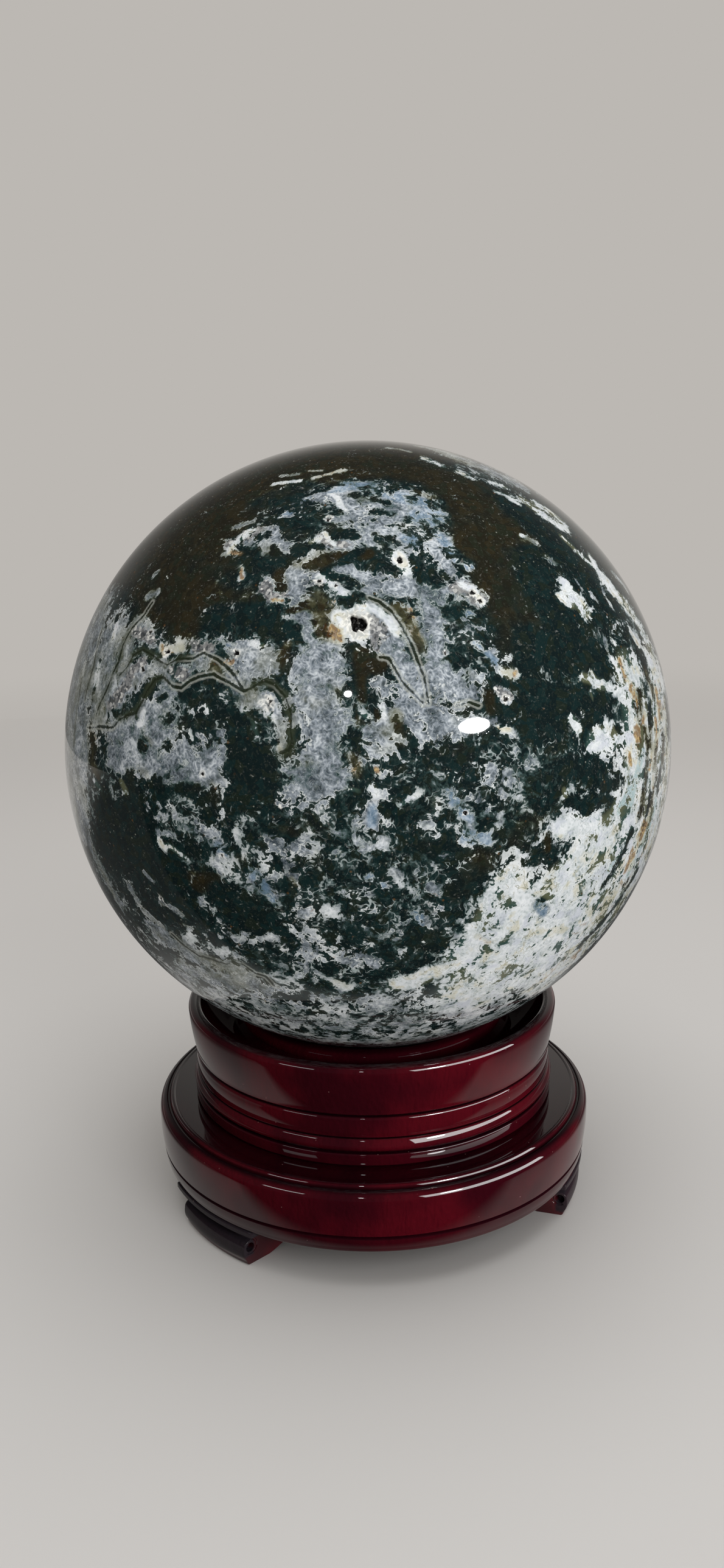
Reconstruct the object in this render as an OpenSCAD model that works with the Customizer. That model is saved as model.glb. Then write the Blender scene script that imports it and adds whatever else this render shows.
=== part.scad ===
// Polished stone ball on a turned swivel stand.
// Millimetres, +Z up. The origin is on the shelf, under the centre of the ball; the front is -Y.

/* [Stone ball] */
// Diameter of the polished ball
ball_d = 260; // [200:1:320]
// Clearance left between the ball and its seat
ball_gap = 0.3; // [0.2:0.05:0.5]

/* [Drum] */
// Widest diameter of the drum, at its lip
drum_d = 168.4; // [160:0.2:190]
// Height of the drum, from its underside to the crest of the lip
drum_h = 43; // [40:0.5:60]
// Radius of the round lip
lip_r = 3.2; // [2:0.1:4]
// How much narrower the drum's wide band is at its lower edge, on the radius
band_taper = 2.6; // [1:0.1:4]
// Height of the round bead above the plinth
bead_h = 5.5; // [3:0.1:7]
// Height of the flat bead between the two grooves
fascia_h = 9.7; // [5:0.1:12]
// Height of the plinth at the drum's foot
plinth_h = 5; // [3:0.1:8]
// How far the plinth stands in from the lip
plinth_set = 1.8; // [1:0.1:4]
// Depth of the grooves turned between the mouldings
groove_depth = 2; // [1:0.1:3]
// Gap under the drum, over the base
drum_gap = 1.1; // [0.6:0.1:2]

/* [Seat] */
// Diameter of the round bead that carries the ball
seat_d = 112.4; // [100:0.2:120]
// Radius of that bead
seat_bead_r = 3.9; // [3:0.1:5]
// How far the bead's top lies under the crest of the lip
seat_drop = 5.2; // [4:0.1:8]
// Depth of the channel outside the bead, under the bead's centre
channel_depth = 2.3; // [1:0.1:4]
// Thickness of the floor under the well
well_floor = 19.9; // [18:0.1:21]
// Fillet where the well's wall meets its floor
well_fillet = 3; // [1:0.5:5]

/* [Base] */
// Widest diameter of the base
base_d = 198.4; // [190:0.2:220]
// Thickness of the base
base_h = 27.3; // [24:0.1:40]
// Height of the narrow band at the base's lower edge
low_band_h = 7; // [4:0.1:9]
// Radius of the base's upper shoulder
shoulder_r = 4.5; // [3:0.1:6]
// Width of the groove round the rim
rim_groove_w = 3; // [2:0.1:4]
// Depth of that groove
rim_groove_depth = 1.6; // [1:0.1:3]
// Width of the raised ring inside the groove
rim_bead_w = 2.2; // [1.5:0.1:3]

/* [Feet] */
// Direction of the front left foot, counterclockwise from +X
foot_turn = 223; // [180:1:270]
// Height of a foot
foot_h = 17.7; // [15:0.1:25]
// Width of a foot
foot_w = 43; // [36:0.5:50]
// Length of a foot, from its toe inwards
foot_len = 32; // [28:0.5:36]
// Length of the flat pad that a foot stands on, from its toe inwards
foot_pad = 11; // [9:0.5:13]
// How full the curve is that rises from the pad to the heel
heel_belly = 3.2; // [1:0.1:3.5]
// Thickness of the flange on top of a foot
flange_t = 2.6; // [2:0.1:4]
// How far the flange stands out past each end of a foot
flange_wing = 5; // [2:0.1:8]
// Depth of the hollow neck under the flange
neck_depth = 5.6; // [3:0.1:7]
// Radius of the scroll's eye, cut into each end of a foot
eye_r = 2; // [1.5:0.1:2.2]
// Depth of that eye
eye_depth = 3; // [2:0.1:5]

/* [Swivel bearing] */
// Outer diameter of the bearing, over the lower race's flange
bearing_d = 120; // [110:0.5:130]
// Depth of the pocket in the base that holds it
pocket_depth = 8; // [7:0.1:10]
// Clearance between the bearing and the pocket's wall
pocket_clear = 0.5; // [0.2:0.1:1]
// Diameter of one bearing ball
race_ball_d = 4.8; // [4:0.1:5]
// Number of bearing balls
race_ball_count = 24; // [12:1:30]
// Running clearance round a bearing ball
race_clear = 0.05; // [0.02:0.01:0.1]
// Gap between the walls of the two races
race_gap = 2.6; // [2.2:0.1:3]
// Thickness of the races' flanges
race_flange_t = 3; // [2:0.1:3.5]
// Thickness of a race's wall
race_wall = 3; // [2.5:0.1:3.5]
// Width of the lower race, from its bore to the edge of its flange
lower_race_w = 9; // [8.6:0.1:11]
// Width of the upper race, from its bore to its outer wall
upper_race_w = 11; // [10:0.1:13]
// Thickness of the ring that keeps the bearing balls apart
cage_t = 1.4; // [1:0.1:1.6]
// Height of that ring
cage_h = 6.4; // [6:0.1:7]
// Diameter of the hole in the base that gives a screwdriver access
access_d = 14; // [10:0.5:16]

/* [Screws] */
// Number of screws in each race
race_screw_count = 4; // [3:1:6]
// Diameter of a race screw's shank
race_screw_d = 3; // [2.5:0.1:3.5]
// Length of a race screw
race_screw_len = 12; // [10:0.5:14]
// Screws in one foot
foot_screw_count = 2; // [1:1:2]
// Diameter of a foot screw's shank
foot_screw_d = 4; // [3:0.1:4.5]
// Length of a foot screw
foot_screw_len = 25; // [22:0.5:27]
// Depth of a foot screw's head above the foot's pad
foot_screw_sink = 3.2; // [2.8:0.1:4]
// Depth that a screw's hole runs on past its tip
screw_tip_clear = 1; // [0.5:0.1:2]
// Clearance round a screw's shank
screw_clear = 0.1; // [0.05:0.05:0.2]

/* [Hidden] */

$fn = 96;
arc_steps = 10;

lacquer = [0.30, 0.03, 0.05];
stone = [0.35, 0.42, 0.40];
zinc = [0.75, 0.76, 0.78];
steel = [0.80, 0.80, 0.82];
nylon = [0.90, 0.89, 0.84];

// heights over the shelf
base_z = foot_h;
base_top = base_z + base_h;
drum_z = base_top + drum_gap;
crest_z = drum_z + drum_h;
pocket_z = base_top - pocket_depth;

// the seat and the ball on it
seat_z = drum_h - seat_drop - seat_bead_r;
ball_r = ball_d / 2;
ball_z = drum_z + seat_z + sqrt(pow(ball_r + ball_gap + seat_bead_r, 2) - pow(seat_d / 2, 2));

// drum mouldings, on the radius and over the drum's underside
lip_x = drum_d / 2 - lip_r;
lip_z = drum_h - lip_r;
band_x = drum_d / 2 - band_taper;
plinth_x = drum_d / 2 - plinth_set;
edge_r = 0.6;
quirk = 0.8;
bead_z = plinth_h + quirk + bead_h / 2;
groove2_z = plinth_h + quirk + bead_h;
groove1_z = groove2_z + fascia_h;
fascia_edge = 1.6;
fascia_x = band_x - 0.2;
lip_inner_a = 150;
channel_w = 5.5;

// base mouldings
base_r = base_d / 2;
low_band_set = 1;
low_edge_r = 1.2;
vee = 1.2;
crown = 0.9;
shoulder_x = base_r - shoulder_r;
rim_groove_x = base_r - 3.6;
rim_bead_x = rim_groove_x - rim_groove_w / 2 - rim_bead_w / 2;
rim_bead_rise = 0.35;

// feet
foot_count = 3;
foot_step = 360 / foot_count;
toe_x = base_r - 4.2;
flange_x = base_r - 1.6;
bulge_x = base_r - 2.8;
bulge_z = (foot_h - flange_t) * 0.45;
neck_x = flange_x - neck_depth;
neck_r = 2.2;
neck_z = foot_h - flange_t - neck_r;
heel_x = toe_x - foot_len;
eye_rim = 0.9;
eye_x = sqrt(pow(bulge_x, 2) - pow(foot_w / 2, 2)) - eye_rim - eye_r;
eye_z = bulge_z + 1;
toe_edge = 1.2;
foot_screw_x = toe_x - foot_pad - foot_screw_d;
foot_screw_y = 11;
foot_head_d = foot_screw_d * 1.85;
foot_head_h = foot_screw_d * 0.6;
foot_head_clear = 0.4;
foot_screw_hole = foot_screw_sink + foot_screw_len - foot_h + screw_tip_clear;

// bearing, over the pocket's floor
track_z = (pocket_depth + drum_gap) / 2;
race_groove_r = race_ball_d / 2 + race_clear;
lower_wall_x = bearing_d / 2 - lower_race_w;
track_r = lower_wall_x - race_gap / 2;
upper_wall_x = track_r - race_gap / 2;
race_lift = 0.9;
lower_race_h = pocket_depth;
upper_race_z = race_lift;
upper_race_h = pocket_depth + drum_gap - race_lift;
lower_screw_x = (lower_wall_x + race_wall + bearing_d / 2) / 2;
upper_screw_x = upper_wall_x - race_wall - (upper_race_w - race_wall) / 2;
race_head_d = race_screw_d * 1.7;
race_head_h = race_screw_d * 0.55;
access_turn = 45;

// points along an arc round (x, z)
function arc(x, z, r, from, to, steps = arc_steps) =
    [for (i = [0 : steps]) let (a = from + (to - from) * i / steps) [x + r * cos(a), z + r * sin(a)]];

// a shallow bulge between two points of an outline, at most rise proud of their line
function swell(a, b, rise, steps = arc_steps) =
    [for (i = [0 : steps])
        let (t = i / steps, along = b - a, out = [along[1], -along[0]] / norm(along))
        a + along * t + out * rise * 4 * t * (1 - t)];

// places a child at equal steps round the axis
module around(count, x, turn = 0) {
    for (i = [0 : count - 1]) rotate([0, 0, turn + i * 360 / count]) translate([x, 0, 0]) children();
}

// a screw that points up, its head's underside at z = 0
module screw(shank_d, length, head_d, head_h) {
    cylinder(d = shank_d, h = length);
    translate([0, 0, -head_h]) cylinder(d1 = head_d, d2 = shank_d, h = head_h);
}

module stone_ball() {
    color(stone) translate([0, 0, ball_z]) sphere(r = ball_r);
}

// the drum's section, from the axis out along the underside, up the side and down into the well
module drum_outline() {
    well_x = seat_d / 2 - seat_bead_r;
    channel_x = seat_d / 2 + seat_bead_r + channel_w / 2;
    channel_z = seat_z - channel_depth;
    polygon(concat(
        [[0, 0]],
        arc(plinth_x - edge_r, edge_r, edge_r, -90, 0, 3),
        arc(plinth_x - edge_r, plinth_h - edge_r, edge_r, 0, 90, 3),
        [[plinth_x - groove_depth, plinth_h], [plinth_x - groove_depth, plinth_h + quirk]],
        arc(plinth_x + 0.4 - bead_h / 2, bead_z, bead_h / 2, -80, 80),
        [[fascia_x - groove_depth, groove2_z]],
        [[fascia_x - 0.3, groove2_z + 0.5]],
        swell([fascia_x - 0.3, groove2_z + 0.6], [fascia_x, groove1_z - fascia_edge - 0.6], 0.3, 6),
        arc(fascia_x - fascia_edge, groove1_z - fascia_edge - 0.4, fascia_edge, 0, 75, 5),
        [[band_x - groove_depth, groove1_z]],
        arc(band_x - edge_r, groove1_z + 0.5 + edge_r, edge_r, -60, 0, 3),
        swell([band_x, groove1_z + 1.2], [lip_x + lip_r, lip_z], 0.35, 8),
        arc(lip_x, lip_z, lip_r, 8, lip_inner_a),
        swell([lip_x + lip_r * cos(lip_inner_a), lip_z + lip_r * sin(lip_inner_a)],
            [channel_x + channel_w / 2, channel_z + 0.8], -1.2, 8),
        arc(channel_x, channel_z + 0.5, 1.2, -60, -120, 3),
        arc(seat_d / 2, seat_z, seat_bead_r, -20, 180, 24),
        arc(well_x - well_fillet, well_floor + well_fillet, well_fillet, 0, -90, 6),
        [[0, well_floor]]
    ));
}

module drum() {
    color(lacquer) translate([0, 0, drum_z]) difference() {
        rotate_extrude() drum_outline();
        around(race_screw_count, upper_screw_x, access_turn)
            translate([0, 0, -1]) cylinder(d = race_screw_d + 2 * screw_clear, h = race_screw_len + 2);
    }
}

// the base's section, over its underside
module base_outline() {
    low_x = base_r - low_band_set;
    polygon(concat(
        [[0, 0]],
        arc(low_x - low_edge_r - 0.8, low_edge_r, low_edge_r, -90, -20, 4),
        swell([low_x - 0.8, low_edge_r + 0.4], [low_x, low_band_h - 0.9], 0.2, 4),
        [[low_x - vee, low_band_h]],
        swell([base_r - 0.8, low_band_h + 0.7], [base_r, base_h - shoulder_r - 0.8], 0.35, 10),
        arc(shoulder_x, base_h - shoulder_r - 0.8, shoulder_r, 0, 72, 8),
        [[rim_groove_x, base_h - rim_groove_depth]],
        [[rim_groove_x - rim_groove_w / 2, base_h - 0.1]],
        arc(rim_bead_x, base_h - rim_bead_w / 2 + rim_bead_rise, rim_bead_w / 2, 40, 140, 6),
        [[rim_bead_x - rim_bead_w / 2 - 0.2, base_h]],
        [[0, base_h]]
    ));
}

module base_disc() {
    color(lacquer) translate([0, 0, base_z]) difference() {
        rotate_extrude() base_outline();
        translate([0, 0, base_h - pocket_depth])
            cylinder(d = bearing_d + 2 * pocket_clear, h = pocket_depth + 1);
        around(race_screw_count, lower_screw_x)
            translate([0, 0, base_h - pocket_depth - race_screw_len])
                cylinder(d = race_screw_d + 2 * screw_clear, h = race_screw_len + 1);
        rotate([0, 0, access_turn]) translate([upper_screw_x, 0, -1]) cylinder(d = access_d, h = base_h);
        around(foot_count, 0, foot_turn) foot_screw_places()
            translate([0, 0, -1]) cylinder(d = foot_screw_d + 2 * screw_clear, h = 1 + foot_screw_hole);
    }
}

// where the screws of the foot that points along +X stand
module foot_screw_places() {
    for (i = [0 : foot_screw_count - 1])
        translate([foot_screw_x, (i - (foot_screw_count - 1) / 2) * 2 * foot_screw_y, 0]) children();
}

// section of a foot's body: toe, bulge, hollow neck and the curve up from the pad to the heel
module foot_outline() {
    polygon(concat(
        arc(toe_x - toe_edge, toe_edge, toe_edge, -90, -10, 5),
        swell([toe_x, toe_edge + 0.4], [bulge_x, bulge_z + 1], 0.7, 6),
        swell([bulge_x - 0.1, bulge_z + 2], [neck_x + neck_r * 0.5, neck_z - neck_r * 0.9], 0.6, 5),
        arc(neck_x + neck_r, neck_z, neck_r, 215, 90, 6),
        [[neck_x + neck_r, foot_h - flange_t / 2], [heel_x, foot_h - flange_t / 2]],
        swell([heel_x, foot_h - flange_t], [toe_x - foot_pad, 0], heel_belly)
    ));
}

// section of the flange on top of it
module flange_outline() {
    polygon(concat(
        [[heel_x, foot_h - flange_t]],
        arc(flange_x - edge_r, foot_h - flange_t + edge_r, edge_r, -90, 0, 3),
        arc(flange_x - edge_r, foot_h - edge_r, edge_r, 0, 90, 3),
        [[heel_x, foot_h]]
    ));
}

// a ring of the given outline, cut down to a straight-sided block along +X
module cut_ring(width) {
    intersection() {
        rotate_extrude() children();
        translate([0, -width / 2, -1]) cube([base_r + 10, width, foot_h + 2]);
    }
}

// one foot, pointing along +X, its screw holes included
module foot() {
    color(lacquer) difference() {
        union() {
            cut_ring(foot_w) foot_outline();
            cut_ring(foot_w + 2 * flange_wing) flange_outline();
        }
        for (side = [-1, 1])
            translate([eye_x, side * (foot_w / 2 - eye_depth / 2 + 0.5), eye_z]) rotate([90, 0, 0])
                cylinder(r = eye_r, h = eye_depth + 1, center = true);
        foot_screw_places() {
            translate([0, 0, -1]) cylinder(d = foot_screw_d + 2 * screw_clear, h = foot_h + 2);
            translate([0, 0, -1])
                cylinder(d = foot_head_d + 2 * foot_head_clear, h = 1 + foot_screw_sink + foot_head_h + screw_clear);
        }
    }
}

module foot_front_left() rotate([0, 0, foot_turn]) foot();
module foot_front_right() rotate([0, 0, foot_turn + foot_step]) foot();
module foot_back() rotate([0, 0, foot_turn + 2 * foot_step]) foot();

module foot_screws() {
    color(steel) around(foot_count, 0, foot_turn) foot_screw_places()
        translate([0, 0, foot_screw_sink + foot_head_h])
            screw(foot_screw_d, foot_screw_len - foot_head_h, foot_head_d, foot_head_h);
}

// outer race, screwed to the pocket's floor, with its flange at the bottom
module lower_race() {
    color(zinc) translate([0, 0, pocket_z]) difference() {
        union() {
            cylinder(d = bearing_d, h = race_flange_t);
            cylinder(r = lower_wall_x + race_wall, h = lower_race_h);
        }
        translate([0, 0, -1]) cylinder(r = lower_wall_x, h = lower_race_h + 2);
        translate([0, 0, track_z]) rotate_extrude() translate([track_r, 0]) circle(r = race_groove_r);
        around(race_screw_count, lower_screw_x) race_screw_hole();
    }
}

// a countersunk hole through a flange whose screwed face is at z = 0
module race_screw_hole() {
    translate([0, 0, -1]) cylinder(d = race_screw_d + 2 * screw_clear, h = race_flange_t + 2);
    translate([0, 0, race_flange_t - race_head_h])
        cylinder(d1 = race_screw_d + 2 * screw_clear, d2 = race_head_d + 2 * screw_clear, h = race_head_h + 0.01);
}

// inner race, screwed to the drum's underside, with its flange at the top, turned inwards
module upper_race() {
    inner_x = upper_wall_x - upper_race_w;
    color(zinc) translate([0, 0, pocket_z + upper_race_z]) difference() {
        cylinder(r = upper_wall_x, h = upper_race_h);
        translate([0, 0, -1]) cylinder(r = inner_x, h = upper_race_h + 2);
        translate([0, 0, -1]) cylinder(r = upper_wall_x - race_wall, h = upper_race_h - race_flange_t + 1);
        translate([0, 0, track_z - upper_race_z])
            rotate_extrude() translate([track_r, 0]) circle(r = race_groove_r);
        around(race_screw_count, upper_screw_x, access_turn)
            translate([0, 0, upper_race_h]) mirror([0, 0, 1]) race_screw_hole();
    }
}

module race_balls() {
    color(steel) translate([0, 0, pocket_z + track_z])
        around(race_ball_count, track_r) sphere(d = race_ball_d);
}

module ball_cage() {
    color(nylon) translate([0, 0, pocket_z + track_z]) difference() {
        cylinder(r = track_r + cage_t / 2, h = cage_h, center = true);
        cylinder(r = track_r - cage_t / 2, h = cage_h + 2, center = true);
        around(race_ball_count, track_r) rotate([0, 90, 0])
            cylinder(r = race_groove_r, h = cage_t + 2, center = true);
    }
}

module lower_race_screws() {
    color(steel) translate([0, 0, pocket_z + race_flange_t]) around(race_screw_count, lower_screw_x)
        mirror([0, 0, 1]) translate([0, 0, race_head_h])
            screw(race_screw_d, race_screw_len - race_head_h, race_head_d, race_head_h);
}

module upper_race_screws() {
    color(steel) translate([0, 0, drum_z - race_flange_t + race_head_h])
        around(race_screw_count, upper_screw_x, access_turn)
            screw(race_screw_d, race_screw_len - race_head_h, race_head_d, race_head_h);
}

stone_ball();
drum();
base_disc();
foot_front_left();
foot_front_right();
foot_back();
foot_screws();
lower_race();
upper_race();
race_balls();
ball_cage();
lower_race_screws();
upper_race_screws();
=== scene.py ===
import math
import random

import bpy
import numpy as np
from mathutils import Matrix, Vector, noise


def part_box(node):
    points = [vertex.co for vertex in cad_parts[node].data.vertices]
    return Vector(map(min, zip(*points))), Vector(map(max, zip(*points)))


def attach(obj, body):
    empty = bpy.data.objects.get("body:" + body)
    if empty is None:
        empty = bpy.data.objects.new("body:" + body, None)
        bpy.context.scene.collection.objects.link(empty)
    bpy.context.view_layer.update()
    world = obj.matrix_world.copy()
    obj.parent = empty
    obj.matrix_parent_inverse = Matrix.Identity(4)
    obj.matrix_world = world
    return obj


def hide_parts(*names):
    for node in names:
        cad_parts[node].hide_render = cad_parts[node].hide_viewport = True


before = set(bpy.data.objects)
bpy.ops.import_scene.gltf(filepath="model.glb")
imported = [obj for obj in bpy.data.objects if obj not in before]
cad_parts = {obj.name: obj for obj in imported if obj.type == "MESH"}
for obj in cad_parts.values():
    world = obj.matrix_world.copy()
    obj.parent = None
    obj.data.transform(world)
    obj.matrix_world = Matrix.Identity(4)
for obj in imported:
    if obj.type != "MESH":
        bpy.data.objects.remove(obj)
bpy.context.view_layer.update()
mm = 0.001


# ---- small helpers ----

def startEditing(piece):
    bpy.ops.object.select_all(action="DESELECT")
    piece.select_set(True)
    bpy.context.view_layer.objects.active = piece
    bpy.ops.object.mode_set(mode="EDIT")


def startSelected(piece):
    startEditing(piece)
    bpy.ops.mesh.select_all(action="SELECT")


def stopEditing():
    bpy.ops.object.mode_set(mode="OBJECT")


def activeNamed(name):
    piece = bpy.context.active_object
    piece.name = name
    piece.data.name = name
    return piece


def settle(piece):
    # leaves the object at the origin with its place in its mesh
    piece.data.transform(piece.matrix_world)
    piece.matrix_world = Matrix.Identity(4)
    return piece


def smooth(piece, angle):
    bpy.ops.object.select_all(action="DESELECT")
    piece.select_set(True)
    bpy.context.view_layer.objects.active = piece
    bpy.ops.object.shade_smooth_by_angle(angle=math.radians(angle))
    return piece


def applyModifier(piece, kind, **settings):
    bpy.ops.object.select_all(action="DESELECT")
    piece.select_set(True)
    bpy.context.view_layer.objects.active = piece
    modifier = piece.modifiers.new(kind.title(), kind)
    for key, value in settings.items():
        setattr(modifier, key, value)
    bpy.ops.object.modifier_apply(modifier=modifier.name)


def cut(piece, cutter, operation="DIFFERENCE"):
    applyModifier(piece, "BOOLEAN", object=cutter, operation=operation, solver="EXACT")
    bpy.data.objects.remove(cutter)


def ownCopy(piece, name, turn=0.0, shift=(0, 0, 0)):
    twin = piece.copy()
    twin.data = piece.data.copy()
    twin.name = name
    twin.data.name = name
    bpy.context.scene.collection.objects.link(twin)
    twin.data.transform(Matrix.Rotation(math.radians(turn), 4, "Z") @ Matrix.Translation(shift))
    return twin


def arcPoints(x, z, radius, start, end, steps=10):
    # points along a round stretch of an outline, in millimetres and degrees
    angles = [math.radians(start + (end - start) * i / steps) for i in range(steps + 1)]
    return [(x + radius * math.cos(a), z + radius * math.sin(a)) for a in angles]


def swellPoints(a, b, rise, steps=10):
    # a shallow bulge between two points of an outline
    dx, dz = b[0] - a[0], b[1] - a[1]
    length = math.hypot(dx, dz)
    points = []
    for i in range(steps + 1):
        t = i / steps
        lift = rise * 4 * t * (1 - t) / length
        points.append((a[0] + dx * t + dz * lift, a[1] + dz * t - dx * lift))
    return points


def drawOutline(name, points, closed=False):
    # one vertex is kept of a plane and extruded from point to point
    bpy.ops.mesh.primitive_plane_add(size=1, location=(0, 0, 0))
    piece = activeNamed(name)
    startSelected(piece)
    bpy.ops.mesh.merge(type="CENTER")
    bpy.ops.transform.translate(value=(points[0][0] * mm, 0, points[0][1] * mm))
    for (x0, z0), (x1, z1) in zip(points, points[1:]):
        step = ((x1 - x0) * mm, 0, (z1 - z0) * mm)
        bpy.ops.mesh.extrude_vertices_move(TRANSFORM_OT_translate={"value": step})
    if closed:
        bpy.ops.mesh.select_all(action="SELECT")
        bpy.ops.mesh.edge_face_add()
    stopEditing()
    return piece


def turnOnLathe(name, points, sides=256):
    piece = drawOutline(name, points)
    startSelected(piece)
    bpy.ops.mesh.spin(steps=sides, angle=2 * math.pi, center=(0, 0, 0), axis=(0, 0, 1))
    bpy.ops.mesh.select_all(action="SELECT")
    bpy.ops.mesh.remove_doubles(threshold=0.002 * mm)
    bpy.ops.mesh.normals_make_consistent(inside=False)
    stopEditing()
    return piece


def addCylinder(name, radius, z0, z1, x=0.0, y=0.0, sides=48, radiusTop=None):
    top = radius if radiusTop is None else radiusTop
    bpy.ops.mesh.primitive_cone_add(vertices=sides, radius1=radius * mm, radius2=top * mm,
                                    depth=(z1 - z0) * mm, location=(x * mm, y * mm, (z0 + z1) / 2 * mm))
    return settle(activeNamed(name))


# ---- shader maths ----

class Flow:
    # a socket that takes part in Python sums
    def __init__(self, graph, socket):
        self.graph, self.socket = graph, socket

    def __add__(self, other): return self.graph.maths("ADD", self, other)
    def __sub__(self, other): return self.graph.maths("SUBTRACT", self, other)
    def __mul__(self, other): return self.graph.maths("MULTIPLY", self, other)
    def __truediv__(self, other): return self.graph.maths("DIVIDE", self, other)
    def __pow__(self, other): return self.graph.maths("POWER", self, other)
    def __radd__(self, other): return self.graph.maths("ADD", other, self)
    def __rsub__(self, other): return self.graph.maths("SUBTRACT", other, self)
    def __rmul__(self, other): return self.graph.maths("MULTIPLY", other, self)
    def __abs__(self): return self.graph.maths("ABSOLUTE", self)


class Graph:
    def __init__(self, name, tree=None):
        self.material = None
        if tree is None:
            self.material = bpy.data.materials.new(name)
            self.material.use_nodes = True
            tree = self.material.node_tree
        self.tree = tree
        tree.nodes.clear()

    def add(self, kind, settings=None, values=None, output=0):
        node = self.tree.nodes.new(kind)
        for key, value in (settings or {}).items():
            if key == "stops":
                while len(node.color_ramp.elements) < len(value):
                    node.color_ramp.elements.new(0.5)
                for element, (place, colour) in zip(node.color_ramp.elements, value):
                    element.position = place
                    element.color = (*colour, 1)
            else:
                setattr(node, key, value)
        for key, value in (values or {}).items():
            if isinstance(value, Flow):
                self.tree.links.new(value.socket, node.inputs[key])
            elif value is not None:
                node.inputs[key].default_value = value
        return Flow(self, node.outputs[output]) if len(node.outputs) else node

    def maths(self, operation, *values):
        return self.add("ShaderNodeMath", {"operation": operation}, dict(enumerate(values)))

    def step(self, value, low, high):
        return self.add("ShaderNodeMapRange", {"interpolation_type": "SMOOTHSTEP"},
                        {"Value": value, "From Min": low, "From Max": high})

    def largest(self, a, b): return self.maths("MAXIMUM", a, b)
    def smallest(self, a, b): return self.maths("MINIMUM", a, b)

    def mix(self, factor, a, b, blend="MIX"):
        colours = [c if isinstance(c, Flow) else (*c, 1) for c in (a, b)]
        return self.add("ShaderNodeMix", {"data_type": "RGBA", "blend_type": blend},
                        {0: factor, 6: colours[0], 7: colours[1]}, output=2)

    def ramp(self, factor, *stops):
        placed = [(place, srgb(*colour)) for place, colour in stops]
        return self.add("ShaderNodeValToRGB", {"stops": placed}, {"Fac": factor})

    def noise(self, place, scale, detail=4.0, rough=0.5, twist=0.0):
        return self.add("ShaderNodeTexNoise", {}, {"Vector": place, "Scale": scale, "Detail": detail,
                                                    "Roughness": rough, "Distortion": twist})

    def drifted(self, place, scale, detail, amount):
        # a place pushed about by slow noise, by up to half the amount
        push = self.add("ShaderNodeTexNoise", {}, {"Vector": place, "Scale": scale, "Detail": detail}, output=1)
        centred = self.add("ShaderNodeVectorMath", {"operation": "SUBTRACT"}, {0: push, 1: (0.5, 0.5, 0.5)})
        pushed = self.add("ShaderNodeVectorMath", {"operation": "SCALE"}, {0: centred, "Scale": amount})
        return self.add("ShaderNodeVectorMath", {"operation": "ADD"}, {0: place, 1: pushed})

    def cells(self, place, scale, feature="SMOOTH_F1", output=0):
        values = {"Vector": place, "Scale": scale}
        if feature == "SMOOTH_F1":
            values["Smoothness"] = 0.4
        return self.add("ShaderNodeTexVoronoi", {"feature": feature}, values, output)

    def painted(self, name):
        return self.add("ShaderNodeAttribute", {"attribute_name": name}, output=2)

    def place(self, centre=(0, 0, 0), stretch=(1, 1, 1)):
        # object coordinates about a centre, in millimetres
        spot = self.add("ShaderNodeTexCoord", output=3)
        scale = tuple(s / mm for s in stretch)
        shift = tuple(-c * s for c, s in zip(centre, scale))
        return self.add("ShaderNodeMapping", {"vector_type": "POINT"},
                        {"Vector": spot, "Location": shift, "Scale": scale})

    def bump(self, height, strength, distance):
        return self.add("ShaderNodeBump", {}, {"Height": height, "Strength": strength,
                                                "Distance": distance * mm})

    def finish(self, **values):
        named = {key.replace("_", " "): value for key, value in values.items()}
        shader = self.add("ShaderNodeBsdfPrincipled", {}, named)
        self.add("ShaderNodeOutputMaterial", {}, {"Surface": shader})
        return self.material


def srgb(red, green, blue):
    # a colour as it looks on screen, 0 to 255, as linear light
    def linear(v):
        v = v / 255
        return v / 12.92 if v < 0.04045 else ((v + 0.055) / 1.055) ** 2.4
    return (linear(red), linear(green), linear(blue))


def paint(piece, material):
    piece.data.materials.clear()
    piece.data.materials.append(material)


# ---- camera ----

ballLow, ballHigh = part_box("stone_ball")
ballCentre = (ballLow + ballHigh) / 2
ballRadius = (ballHigh.x - ballLow.x) / 2

cameraSet = {
    "lens": 25.18,                          # on a 36 mm high picture
    "place": (-0.018, -3.697, 0.633),       # from the ball's centre, in ball radii
    "pitch": 11.65, "yaw": 0.05, "roll": -1.0,
}


def makeCamera():
    bpy.ops.object.camera_add()
    camera = bpy.context.active_object
    camera.name = "camera"
    camera.data.lens = cameraSet["lens"]
    camera.data.sensor_width = 36
    camera.data.sensor_fit = "AUTO"
    camera.data.clip_start = 0.01
    camera.data.clip_end = 100
    camera.data.dof.use_dof = False
    turned = (Matrix.Rotation(math.radians(cameraSet["yaw"]), 4, "Z")
              @ Matrix.Rotation(math.radians(90 - cameraSet["pitch"]), 4, "X")
              @ Matrix.Rotation(math.radians(cameraSet["roll"]), 4, "Z"))
    spot = ballCentre + Vector(cameraSet["place"]) * ballRadius
    camera.matrix_world = Matrix.Translation(spot) @ turned
    bpy.context.scene.camera = camera


makeCamera()
print("camera placed")


# ---- studio ----

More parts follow.
